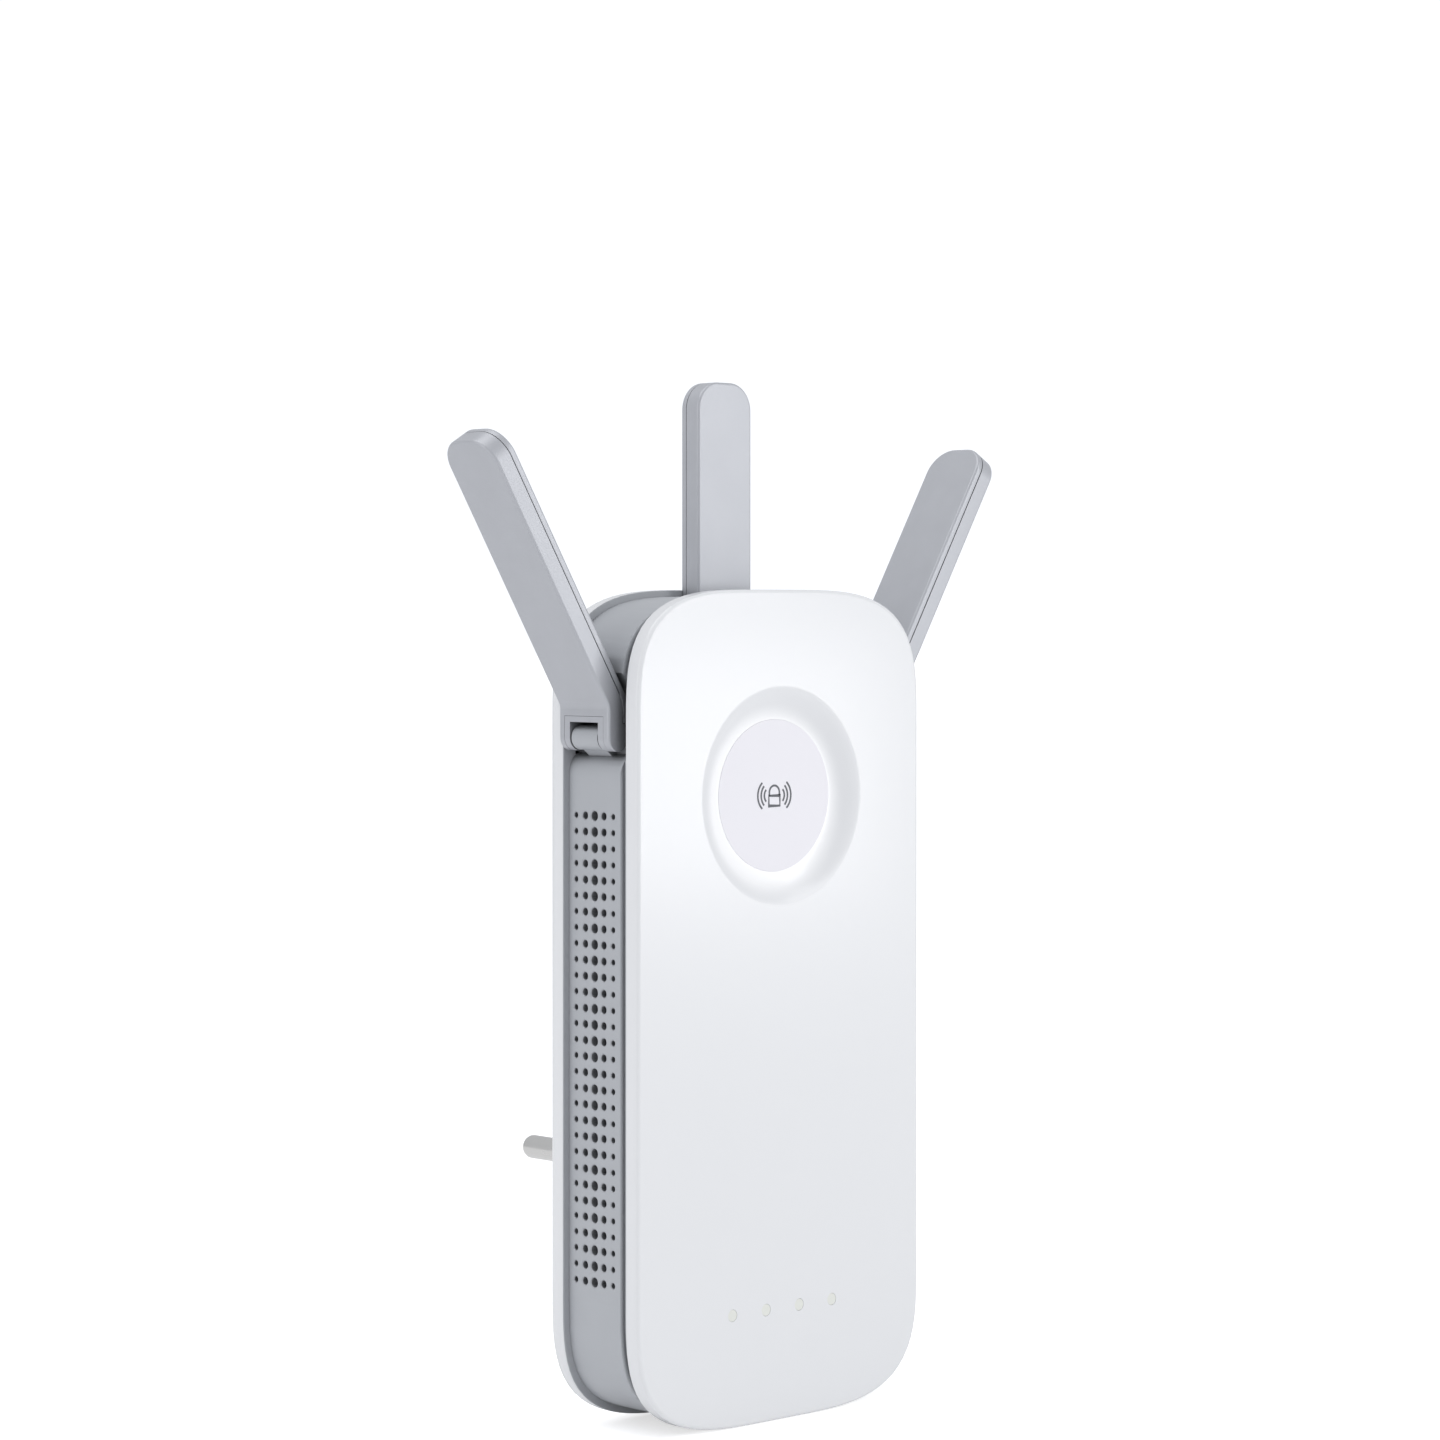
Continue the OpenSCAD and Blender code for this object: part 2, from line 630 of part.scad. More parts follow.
module jack_contacts() color([0.85, 0.7, 0.3]) for (i = [-3.5:3.5])
    translate([0, 0, jack_z + i * 1.02]) {
        block([jack_x1 - jack_depth + seat, jack_x1 - 3], [jack_d0 + seat, jack_d0 + 0.35],
            [-0.2, 0.2]);
        block([jack_x1 - 8, jack_x1 - 7.6], [jack_d0 + 0.3, jack_d0 + 1], [-0.2, 0.2]);
    }

// ---- power section ----

module power_board() color([0.13, 0.30, 0.20]) difference() {
    block([-27.5, 19], [power_d, power_d + board_t], [-34.5, 20.5]);
    for (p = power_posts) rod(p[0], p[1], 1.1, power_d - 1, power_d + board_t + 1);
    for (side = [-1, 1])
        rod(side * contact_pitch / 2, 0, tail_r + 0.2, power_d - 1, power_d + board_t + 1);
}

module transformer() color([0.75, 0.68, 0.30]) {
    block([-20, -2], [board_d + board_t + 2.2, power_d - seat], [-28, -24]);
    block([-20, -2], [board_d + board_t + 2.2, power_d - seat], [-12, -8]);
    block([-18.5, -3.5], [board_d + board_t + 3.2, power_d - 1], [-24.5, -11.5]);
}

module capacitors() color([0.12, 0.14, 0.22]) {
    rod(7, -22, 5, board_d + board_t + 2.4, power_d - seat);
    rod(5, -10.5, 4, board_d + board_t + 4, power_d - seat);
    rod(15, 7, 3.1, board_d + board_t + 7, power_d - seat);
}

module mains_filter() color([0.45, 0.30, 0.16]) difference() {
    rod(0, 11.5, 5, power_d - 8, power_d - seat);
    rod(0, 11.5, 2, power_d - 9, power_d - 1);
}

module fuse() color([0.40, 0.30, 0.20]) rod(-19, 2.5, 3.5, power_d - 7.5, power_d - seat);

module board_link() color([0.2, 0.2, 0.2])
    block([-26.8, -24.3], [board_d + board_t + seat, power_d - seat], [4.5, 12.5]);

module insulation_sheet() color([0.9, 0.9, 0.85])
    block([-22.5, 13], [board_d + board_t + 1.7, board_d + board_t + 2.1], [-32, 19]);

// ---- fasteners, leads and label ----

module case_screws() color([0.6, 0.6, 0.62]) for (p = case_screws_xz) {
    rod(p[0], p[1], 1.25, 14.5, rear_edge + 2.2);
    difference() {
        rod(p[0], p[1], 2.6, rear_edge + 2.1 + seat, rear_edge + 3.8);
        block([p[0] - 0.3, p[0] + 0.3], [rear_edge + 3, rear_edge + 4], [p[1] - 1.6, p[1] + 1.6]);
        block([p[0] - 1.6, p[0] + 1.6], [rear_edge + 3, rear_edge + 4], [p[1] - 0.3, p[1] + 0.3]);
    }
}

module board_screws() color([0.6, 0.6, 0.62]) for (p = board_posts) {
    rod(p[0], p[1], 0.95, cover_t + 1.6, board_d + board_t + 0.2);
    rod(p[0], p[1], 2, board_d + board_t + seat, board_d + board_t + 1.1);
}

module power_board_screws() color([0.6, 0.6, 0.62]) for (p = power_posts) {
    rod(p[0], p[1], 0.9, power_d - 0.2, power_d + board_t + 2);
    rod(p[0], p[1], 1.9, power_d - 1.1, power_d - seat);
}

// Coax lead from its plug on the main board to the root of a side hinge
module coax_side(side) color([0.25, 0.25, 0.27]) {
    plug_x = side * (board_hw - 6);
    back = board_d + board_t;
    rod(plug_x, side_coax_z, 1.3, back + seat, back + 1.6);
    lead([[plug_x, front_y + back + 1.2, side_coax_z],
        [plug_x + side * 2.5, front_y + back + 2.2, side_coax_z],
        [side * (side_block_x - 2.4), front_y + side_ant_d, side_coax_z],
        [side * (side_block_x - 0.3), front_y + side_ant_d, side_coax_z]], coax_r);
}
module coax_left() coax_side(-1);
module coax_right() coax_side(1);
module coax_middle() color([0.25, 0.25, 0.27]) {
    back = board_d + board_t;
    rod(0, mid_coax_z - 8, 1.3, back + seat, back + 1.6);
    lead([[0, front_y + back + 1.2, mid_coax_z - 8], [0, front_y + back + 2.2, mid_coax_z - 5],
        [0, front_y + rest_front - well_wall - 1.6, mid_coax_z],
        [0, front_y + rest_front - 1.1, mid_coax_z]], coax_r);
}

module rating_label() color([0.85, 0.86, 0.87])
    block([-16, 16], [body_d + 0.02, body_d + 0.22], [bottom_z + 12, bottom_z + 24]);

// ---- buttons ----

module wps_button() color([0.96, 0.95, 0.98]) turned(
    [[0, dish_depth], [button_r - 0.3, dish_depth], [button_r, dish_depth + 0.3],
     [button_r, ring_back + 0.1], [button_r + 1.4, ring_back + 0.1],
     [button_r + 1.4, ring_back + 0.9], [button_r - 1.5, ring_back + 0.9],
     [button_r - 1.5, dish_depth + 1.5], [2.2, dish_depth + 1.5], [2.2, board_d - 3.1],
     [0, board_d - 3.1]]);

module side_button(z) color([0.80, 0.81, 0.83]) {
    translate([inner_x - 1, front_y + side_button_d, z]) rotate([90, 0, 90])
        linear_extrude(frame_t + 1.7) polygon(stadium(side_button_l, side_button_w));
    translate([inner_x - 1, front_y + side_button_d, z]) rotate([90, 0, 90])
        linear_extrude(0.8) polygon(stadium(side_button_l + 2, side_button_w + 2));
    translate([switch_x0 + 1.9 + side_travel, front_y + side_button_d, z]) rotate([0, 90, 0])
        cylinder(h = inner_x - switch_x0 - 2.8 - side_travel, r = 1.2);
}
module led_button() side_button(led_button_z);
module power_button() side_button(power_button_z);
module reset_plunger() color([0.8, 0.8, 0.8])
    translate([switch_x0 + 1.9 + side_travel, front_y + side_button_d, reset_z])
        rotate([0, 90, 0]) cylinder(h = inner_x - switch_x0 - 3.4 - side_travel, r = 1.15);

// ---- the three antennas ----

module left_antenna_shell() at_side(-1) ant_shell(-1);
module left_antenna_lid() at_side(-1) ant_lid(-1);
module left_antenna_bracket() at_side(-1) ant_bracket();
module left_radiator() at_side(-1) ant_radiator(-1);
module left_hinge_pin() at_side(-1) ant_pin();
module left_hinge_washers() at_side(-1) ant_washers();
module right_antenna_shell() at_side(1) ant_shell(-1);
module right_antenna_lid() at_side(1) ant_lid(-1);
module right_antenna_bracket() at_side(1) ant_bracket();
module right_radiator() at_side(1) ant_radiator(-1);
module right_hinge_pin() at_side(1) ant_pin();
module right_hinge_washers() at_side(1) ant_washers();
module middle_antenna_shell() at_middle() ant_shell(1);
module middle_antenna_lid() at_middle() ant_lid(1);
module middle_antenna_bracket() at_middle() ant_bracket();
module middle_radiator() at_middle() ant_radiator(1);
module middle_hinge_pin() at_middle() ant_pin();
module middle_hinge_washers() at_middle() ant_washers();

front_cover();
light_ring();
light_shroud();
status_light_pipes();
mid_frame();
rear_cover();
plug_block();
plug_pins();
pin_contacts();
main_board();
board_chips();
heat_sink();
rf_shields();
ring_leds();
status_leds();
wps_switch();
side_switches();
ethernet_jack();
jack_contacts();
power_board();
transformer();
capacitors();
mains_filter();
fuse();
board_link();
insulation_sheet();
case_screws();
board_screws();
power_board_screws();
coax_left();
coax_right();
coax_middle();
rating_label();
wps_button();
wps_switch_cap();
led_button();
power_button();
reset_plunger();
left_antenna_shell();
left_antenna_lid();
left_antenna_bracket();
left_radiator();
left_hinge_pin();
left_hinge_washers();
right_antenna_shell();
right_antenna_lid();
right_antenna_bracket();
right_radiator();
right_hinge_pin();
right_hinge_washers();
middle_antenna_shell();
middle_antenna_lid();
middle_antenna_bracket();
middle_radiator();
middle_hinge_pin();
middle_hinge_washers();
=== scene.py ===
"""Looks of a wall-plug wireless range extender with three folding antennas.

X runs to the right, Y runs back towards the wall and Z runs up. Shapes are laid out in
millimetres, with depths counted from the front, and are turned into metres when a mesh is made.
"""

import math

import bmesh
import bpy
from mathutils import Matrix, Vector


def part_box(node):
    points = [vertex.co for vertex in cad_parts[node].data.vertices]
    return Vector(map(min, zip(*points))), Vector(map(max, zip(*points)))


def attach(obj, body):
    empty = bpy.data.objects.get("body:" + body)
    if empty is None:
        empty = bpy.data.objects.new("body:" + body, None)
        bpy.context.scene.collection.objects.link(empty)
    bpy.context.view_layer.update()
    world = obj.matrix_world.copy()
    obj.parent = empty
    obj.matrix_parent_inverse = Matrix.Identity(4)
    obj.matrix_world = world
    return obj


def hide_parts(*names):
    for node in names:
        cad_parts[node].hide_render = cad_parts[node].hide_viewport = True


bl_info = {
    "name": "Wireless Range Extender",
    "version": (1, 0, 0),
    "blender": (4, 5, 0),
    "location": "3D View > Sidebar > Extender",
    "description": "Builds a wall-plug wireless range extender around its packed frame",
    "category": "Object",
}

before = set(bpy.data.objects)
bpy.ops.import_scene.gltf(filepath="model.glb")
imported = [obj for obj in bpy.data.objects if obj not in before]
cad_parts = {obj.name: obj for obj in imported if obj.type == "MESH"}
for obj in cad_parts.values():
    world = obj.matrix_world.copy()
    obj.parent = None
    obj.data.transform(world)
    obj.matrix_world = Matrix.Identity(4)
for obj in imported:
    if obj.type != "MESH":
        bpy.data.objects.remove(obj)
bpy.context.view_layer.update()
MM = 0.001


def box_mm(node):
    """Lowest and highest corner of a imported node, in millimetres."""
    low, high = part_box(node)
    return low / MM, high / MM


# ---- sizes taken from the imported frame, in millimetres like those below ----

COVER_LOW, COVER_HIGH = box_mm("front_cover")
REAR_HIGH = box_mm("rear_cover")[1]
RING_LOW, RING_HIGH = box_mm("light_ring")
BUTTON_HIGH = box_mm("wps_button")[1]

HALF_W = COVER_HIGH.x
TOP_Z = COVER_HIGH.z
BOTTOM_Z = COVER_LOW.z
MID_Z = (TOP_Z + BOTTOM_Z) / 2
HALF_H = (TOP_Z - BOTTOM_Z) / 2
FRONT_Y = COVER_LOW.y
BACK_D = REAR_HIGH.y - FRONT_Y
RING_Z = (RING_LOW.z + RING_HIGH.z) / 2

# ---- the body's outline: four corner curves and the straight runs between them ----

CORNER_W = 34.0
CORNER_H = 26.0
CORNER_POWER = 3.3
CORNER_SAMPLES = 600
CORNER_STEPS = 24
SIDE_STEPS = 56
END_STEPS = 4

# ---- covers, gasket and screws; depths are counted from the front ----

COVER_SIDE = 3.5
COVER_T = 2.0
COVER_ROUND_STEPS = 8
EDGE_R = 0.2
EDGE_MID = 0.06
REAR_EDGE = 21.5
REAR_SIDE = 2.0
CROWN_REACH = 10.0
CROWN_STEPS = 14
GASKET_T = 0.3
GASKET_INNER = 3.0
GASKET_INSET = 0.25
GASKET_ROUND = 0.12
SEAT = 0.05
SCREWS = ((-27.0, 103.0), (27.0, 103.0), (-25.0, -41.0), (25.0, -41.0))
POST_R = 4.0
POST_END = 28.2
SCREW_WELL_R = 2.9
SCREW_BORE_R = 1.5
SCREW_FLOOR = 2.1
PLUG_R = 18.0
PLUG_PLAY = 0.15

# ---- light ring, status holes, round button and its symbol ----

RING_R = 21.6
RING_FLANGE_R = RING_HIGH.x
FLANGE_BACK = 1.6
DISH_DEPTH = 2.5
DISH_STEPS = 28
DISH_CURVE = 1.8
STATUS_X = (-13.5, -4.5, 4.5, 13.5)
STATUS_Z = -26.0
STATUS_R = 1.2
BUTTON_R = 15.0
BUTTON_PLAY = 0.03
DISC_FRONT = 2.4
DISC_SKIRT = 1.7
DISC_FLANGE = (1.8, 2.6)
SYMBOL_FRONT = 2.37
SYMBOL_BACK = 2.5
LOCK_HALF_W = 1.5
LOCK_FOOT = -2.05
LOCK_TOP = -0.05
SHACKLE_HALF_W = 1.36
SHACKLE_Z = 0.6
SHACKLE_RISE = 1.35
WAVES = ((2.72, 1.15, 1.6), (3.58, 1.9, 2.7), (4.5, 2.55, 3.3))

# ---- antennas: a short leg at the pin, a bend and a long blade ----

ANT_HALF_W = 7.25
ANT_HALF_T = 2.55
LEG = 6.8
BLADE = 59.0
ELBOW = math.radians(31.0)
BEND_R = 5.2
BEND_STEPS = 8
TIP_R = 5.5
TIP_STEPS = 12
FOOT_ANGLES = (86, 78, 68, 57, 45, 33, 22, 11)
LID_T = 1.45
LID_START = 2.9
PART_GAP = 0.16
NOTCH_HALF = 5.65
NOTCH_CAP = 4.15
NOTCH_TOP = 3.0
EAR_HALF = 4.1
CUTTER_REACH = 6.0
LID_CUTTER_HALF = 9.0
PIN_BORE_R = 1.02
PIN_BORE_MORE = 0.95

# ---- hinge seats, shadow groove and folding recess ----

SIDE_PIN = (37.15, -33.6, 86.4)
MIDDLE_PIN = (0.0, -24.85, 91.6)
MIDDLE_PIN_DEPTH = 22.65
KNUCKLE_R = 2.8
KNUCKLE_HALF = 3.75
KNUCKLE_STEPS = 30
NECK_ANGLE = math.radians(240.0)
NECK_HALF_T = 2.2
NECK_SINK = 0.7
SLIM_KNUCKLE_R = 2.4
PIN_HOLE_R = 1.2
FRAME_INSET = 1.3
GROOVE_INSET = 2.2
GROOVE_START = 3.3
GROOVE_FLOOR = 6.2
SHOULDER = 0.6
SHOULDER_STEPS = 4
WELL_DEPTH = 16.2
FOLD_DEPTH = 23.2
WELL_PLAY = 1.6
RAMP_RUN = 5.6
RAMP_PLAY = 0.3
WALL_T = 1.4
WALL_HALF = 9.0
RECESS_HALF = 7.6
ROOM_INSET = 1.6
ROOM_FRONT = 4.0

# ---- finishes and stage; relief, painted crevice shade, panels and camera are in metres ----

RELIEF_DEPTH = 0.00004
# painted shade: how far the crevice darkening looks for nearby surfaces, and the occlusion range
# over which it fades
CREVICE_SHADE_REACH = 0.005
CREVICE_SHADE_RANGE = (0.2, 0.8)
GLOW_SHIFT = (-1.1, -1.2)
GLOW_RANGE = (15.0, 19.6)
FLOOR_DROP = 0.1
FLOOR_REACH = 12000.0
FLOOR_LEVELS = (0.1, 0.62)
WORLD_LEVELS = (0.63, 1.1)
PANEL_AIM = (0.0, -0.03, 0.06)
PANELS = (
    ("soft_box", (0.74, -1.05, 0.52), 0.4, 0.85, 3.6),
    ("low_panel", (0.9, -1.05, 0.03), 0.2, 0.14, 0.55),
    ("top_light", (-0.3, 0.1, 1.1), 0.8, 0.8, 3.2),
    ("left_light", (-1.3, 0.12, 0.3), 0.9, 0.9, 2.0),
)
CAMERA_PLACE = (-0.5236, -0.5909, 0.1092)
CAMERA_TURN = (90.0, 0.0, -43.0)
CAMERA_SHIFT = -0.07


# ---- properties ----


class ExtenderSizes(bpy.types.PropertyGroup):
    """Edge radii, line width and lens that a user can change before building"""

    cover_round: bpy.props.FloatProperty(
        name="Cover edge radius",
        description="Radius of the front cover's front edge",
        default=0.0008,
        min=0.0002,
        max=0.0015,
        unit="LENGTH",
    )
    antenna_round: bpy.props.FloatProperty(
        name="Antenna edge radius",
        description="Radius of the antennas' long edges",
        default=0.00055,
        min=0.0002,
        max=0.0009,
        unit="LENGTH",
    )
    part_round: bpy.props.FloatProperty(
        name="Parting edge radius",
        description="Radius of the edges along the antennas' parting lines",
        default=0.00012,
        min=0.00005,
        max=0.0003,
        unit="LENGTH",
    )
    symbol_line: bpy.props.FloatProperty(
        name="Symbol line width",
        description="Line width of the padlock symbol on the round button",
        default=0.0004,
        min=0.0001,
        max=0.0008,
        unit="LENGTH",
    )
    lens: bpy.props.FloatProperty(
        name="Camera lens",
        description="Focal length of the camera in millimetres",
        default=96.0,
        min=20.0,
        max=200.0,
    )


class ExtenderColours(bpy.types.PropertyGroup):
    """Colours of the visible parts and the light ring's glow"""

    cover: bpy.props.FloatVectorProperty(
        name="Covers",
        description="Colour of the glossy white covers",
        default=(0.86, 0.865, 0.875),
        min=0.0,
        max=1.0,
        size=3,
        subtype="COLOR",
    )
    disc: bpy.props.FloatVectorProperty(
        name="Round button",
        description="Colour of the round button",
        default=(0.92, 0.905, 0.945),
        min=0.0,
        max=1.0,
        size=3,
        subtype="COLOR",
    )
    side_frame: bpy.props.FloatVectorProperty(
        name="Side frame",
        description="Colour of the grey frame between the covers",
        default=(0.50, 0.515, 0.54),
        min=0.0,
        max=1.0,
        size=3,
        subtype="COLOR",
    )
    antenna: bpy.props.FloatVectorProperty(
        name="Antennas",
        description="Colour of the silver antenna paint",
        default=(0.52, 0.53, 0.56),
        min=0.0,
        max=1.0,
        size=3,
        subtype="COLOR",
    )
    symbol: bpy.props.FloatVectorProperty(
        name="Symbol",
        description="Colour of the padlock symbol",
        default=(0.13, 0.135, 0.15),
        min=0.0,
        max=1.0,
        size=3,
        subtype="COLOR",
    )
    glow: bpy.props.FloatVectorProperty(
        name="Ring glow",
        description="Light that the ring gives off next to the round button",
        default=(1.0, 0.99, 0.97),
        min=0.0,
        max=1.0,
        size=3,
        subtype="COLOR",
    )
    glow_strength: bpy.props.FloatProperty(
        name="Ring glow strength",
        description="Strength of the light ring's glow",
        default=0.2,
        min=0.0,
        max=5.0,
    )


# ---- mesh helpers ----


def new_object(name, points, faces):
    """A mesh object from points in millimetres, with its faces turned outwards."""
    mesh = bpy.data.meshes.new(name)
    mesh.from_pydata([Vector(p) * MM for p in points], [], faces)
    tidy = bmesh.new()
    tidy.from_mesh(mesh)
    bmesh.ops.remove_doubles(tidy, verts=tidy.verts, dist=1e-7)
    bmesh.ops.recalc_face_normals(tidy, faces=tidy.faces)
    tidy.to_mesh(mesh)
    tidy.free()
    made = bpy.data.objects.new(name, mesh)
    bpy.context.scene.collection.objects.link(made)
    return made


def loft(name, loops, ring=False):
    """A skin through closed loops of equal length; the ends are capped unless it is a ring."""
    count = len(loops[0])
    points = [p for loop in loops for p in loop]
    faces = []
    pairs = [(i, i + 1) for i in range(len(loops) - 1)]
    if ring:
        pairs.append((len(loops) - 1, 0))
    for low, high in pairs:
        for i in range(count):
            j = (i + 1) % count
            faces.append((low * count + i, low * count + j, high * count + j, high * count + i))
    if not ring:
        faces.append(tuple(range(count))[::-1])
        faces.append(tuple((len(loops) - 1) * count + i for i in range(count)))
    return new_object(name, points, faces)


def prism(name, section, low, high, place):
    """A closed prism from a flat outline; place turns (a, b, along) into a point."""
    return loft(name, [[place(a, b, t) for a, b in section] for t in (low, high)])


def settle(piece):
    """Makes the shown shape of a piece its own mesh and clears the modifiers."""
    graph = bpy.context.evaluated_depsgraph_get()
    mesh = bpy.data.meshes.new_from_object(piece.evaluated_get(graph))
    old = piece.data
    piece.modifiers.clear()
    piece.data = mesh
    bpy.data.meshes.remove(old)


def combine(piece, others, operation):
    """Adds, cuts or keeps what is shared with each other solid, which is then removed."""
    for other in others:
        step = piece.modifiers.new("combine", "BOOLEAN")
        step.operation = operation
        step.solver = "EXACT"
        step.object = other
        bpy.context.view_layer.update()
        settle(piece)
        bpy.data.objects.remove(other)
    return piece


def soften(piece, radius, angle=38.0, segments=2):
    """Rounds the sharp edges of a piece."""
    step = piece.modifiers.new("soften", "BEVEL")
    step.width = radius
    step.segments = segments
    step.limit_method = "ANGLE"
    step.angle_limit = math.radians(angle)
    step.use_clamp_overlap = True
    bpy.context.view_layer.update()
    settle(piece)
    return piece


def shade(piece, angle=38.0):
    """Smooth shading that keeps sharp edges and leaves flat faces flat."""
    piece.data.shade_smooth()
    piece.data.set_sharp_from_angle(angle=math.radians(angle))
    step = piece.modifiers.new("even_normals", "WEIGHTED_NORMAL")
    step.keep_sharp = True
    step.weight = 80
    return piece


def hand_over(piece, material, body, nodes=()):
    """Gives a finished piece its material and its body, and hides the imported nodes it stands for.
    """
    piece.data.materials.clear()
    piece.data.materials.append(material)
    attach(piece, body)
    if nodes:
        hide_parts(*nodes)
    return piece


def from_node(name, node):
    """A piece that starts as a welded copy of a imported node's mesh, with its flat faces whole."""
    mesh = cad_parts[node].data.copy()
    mesh.name = name
    tidy = bmesh.new()
    tidy.from_mesh(mesh)
    bmesh.ops.remove_doubles(tidy, verts=tidy.verts, dist=2e-6)
    bmesh.ops.dissolve_limit(
        tidy, angle_limit=math.radians(0.3), verts=tidy.verts, edges=tidy.edges
    )
    tidy.to_mesh(mesh)
    tidy.free()
    if mesh.attributes.get("custom_normal"):
        mesh.attributes.remove(mesh.attributes["custom_normal"])
    made = bpy.data.objects.new(name, mesh)
    bpy.context.scene.collection.objects.link(made)
    return made


# ---- the body's outline ----


def corner_angles():
    """Angles that part a corner curve into even steps."""
    power = 2 / CORNER_POWER
    fine = [math.pi / 2 * i / CORNER_SAMPLES for i in range(CORNER_SAMPLES + 1)]
    curve = [
        (CORNER_W * max(math.cos(a), 0.0) ** power, CORNER_H * max(math.sin(a), 0.0) ** power)
        for a in fine
    ]
    run = [0.0]
    for before, after in zip(curve, curve[1:]):
        run.append(run[-1] + math.dist(before, after))
    angles, at = [], 0
    for i in range(CORNER_STEPS + 1):
        goal = run[-1] * i / CORNER_STEPS
        while at < len(run) - 1 and run[at] < goal - 1e-9:
            at += 1
        angles.append(fine[at])
    return angles


ANGLES = corner_angles()


def outline(inset):
    """The body's outline in X and Z, shrunk by inset, as one closed loop of points."""
    power = 2 / CORNER_POWER
    cx, cz = HALF_W - CORNER_W, HALF_H - CORNER_H
    quarter = [
        (
            cx + (CORNER_W - inset) * max(math.cos(a), 0.0) ** power,
            cz + (CORNER_H - inset) * max(math.sin(a), 0.0) ** power,
        )
        for a in ANGLES
    ]
    mirrored = [(-x, z) for x, z in reversed(quarter)]
    upper = quarter + between(quarter[-1], mirrored[0], END_STEPS) + mirrored
    lower = [(-x, -z) for x, z in upper]
    return [
        (x, z + MID_Z)
        for x, z in upper
        + between(upper[-1], lower[0], SIDE_STEPS)
        + lower
        + between(lower[-1], upper[0], SIDE_STEPS)
    ]


def between(start, end, steps):
    """Points evenly between two points, without the ends."""
    return [
        (start[0] + (end[0] - start[0]) * i / steps, start[1] + (end[1] - start[1]) * i / steps)
        for i in range(1, steps)
    ]


def outline_loop(inset, depth):
    """The body's outline, shrunk by inset, at a depth behind the front."""
    return [(x, FRONT_Y + depth, z) for x, z in outline(inset)]


RIM_ANGLES = [math.atan2(z - RING_Z, x) for x, z in outline(0.0)]


def rim_loop(radius, depth):
    """A circle about the light ring's axis whose points face those of the outline."""
    return [
        (radius * math.cos(a), FRONT_Y + depth, RING_Z + radius * math.sin(a)) for a in RIM_ANGLES
    ]


def circle_loop(x, z, radius, depth, steps=32):
    """A circle in X and Z at a depth behind the front."""
    turn = 2 * math.pi / steps
    return [
        (x + radius * math.cos(i * turn), FRONT_Y + depth, z + radius * math.sin(i * turn))
        for i in range(steps)
    ]


def peg(name, x, z, radius, start, end, steps=32):
    """A round peg along Y between two depths."""
    return loft(name, [circle_loop(x, z, radius, d, steps) for d in (start, end)])


def along_x(y, z, x):
    """A point of a prism that runs along X, from its side view in Y and Z."""
    return (x, y, z)


def along_x_from_front(depth, z, x):
    """A point of a prism that runs along X, from its side view in depth and Z."""
    return (x, FRONT_Y + depth, z)


# ---- materials ----


def material(
    name,
    colour,
    roughness,
    metallic=0.0,
    coat=0.0,
    grain=1500.0,
    bump=0.1,
    mottle=0.04,
    rough_spread=0.06,
    streak=(1.0, 1.0, 1.0),
    see_through=0.0,
    crevice_shade=0.0,
    glow=None,
):
    """A moulded, painted or bare finish with its own grain, tone variation and sheen, and, where
    asked, painted shade in its crevices and a glow.
    """
    made = bpy.data.materials.new(name)
    made.use_nodes = True
    nodes, links = made.node_tree.nodes, made.node_tree.links
    shader = nodes["Principled BSDF"]
    shader.inputs["Metallic"].default_value = metallic
    shader.inputs["Coat Weight"].default_value = coat
    shader.inputs["Coat Roughness"].default_value = 0.12
    shader.inputs["Transmission Weight"].default_value = see_through
    where = nodes.new("ShaderNodeTexCoord")
    stretch = nodes.new("ShaderNodeMapping")
    stretch.inputs["Scale"].default_value = streak
    links.new(where.outputs["Object"], stretch.inputs["Vector"])

    broad = nodes.new("ShaderNodeTexNoise")
    broad.inputs["Scale"].default_value = grain / 18
    broad.inputs["Detail"].default_value = 4.0
    links.new(stretch.outputs["Vector"], broad.inputs["Vector"])
    tone = nodes.new("ShaderNodeMix")
    tone.data_type = "RGBA"
    tone.inputs[6].default_value = (*(c * (1 - mottle) for c in colour), 1.0)
    tone.inputs[7].default_value = (*(min(c * (1 + mottle / 2), 1.0) for c in colour), 1.0)
    links.new(broad.outputs["Fac"], tone.inputs[0])
    # painted shade: the colour is darkened in narrow gaps and inner corners
    if crevice_shade:
        add_painted_crevice_shade(nodes, links, shader, tone, tuple(c * (1 - crevice_shade) for c in colour))
    else:
        links.new(tone.outputs[2], shader.inputs["Base Color"])

    fine = nodes.new("ShaderNodeTexNoise")
    fine.inputs["Scale"].default_value = grain
    fine.inputs["Detail"].default_value = 3.0
    links.new(stretch.outputs["Vector"], fine.inputs["Vector"])
    sheen = nodes.new("ShaderNodeMapRange")
    sheen.inputs["To Min"].default_value = max(roughness - rough_spread, 0.02)
    sheen.inputs["To Max"].default_value = min(roughness + rough_spread, 1.0)
    links.new(broad.outputs["Fac"], sheen.inputs["Value"])
    links.new(sheen.outputs["Result"], shader.inputs["Roughness"])
    relief = nodes.new("ShaderNodeBump")
    relief.inputs["Strength"].default_value = bump
    relief.inputs["Distance"].default_value = RELIEF_DEPTH
    links.new(fine.outputs["Fac"], relief.inputs["Height"])
    links.new(relief.outputs["Normal"], shader.inputs["Normal"])
    if glow:
        add_glow(nodes, links, shader, where, *glow)
    return made


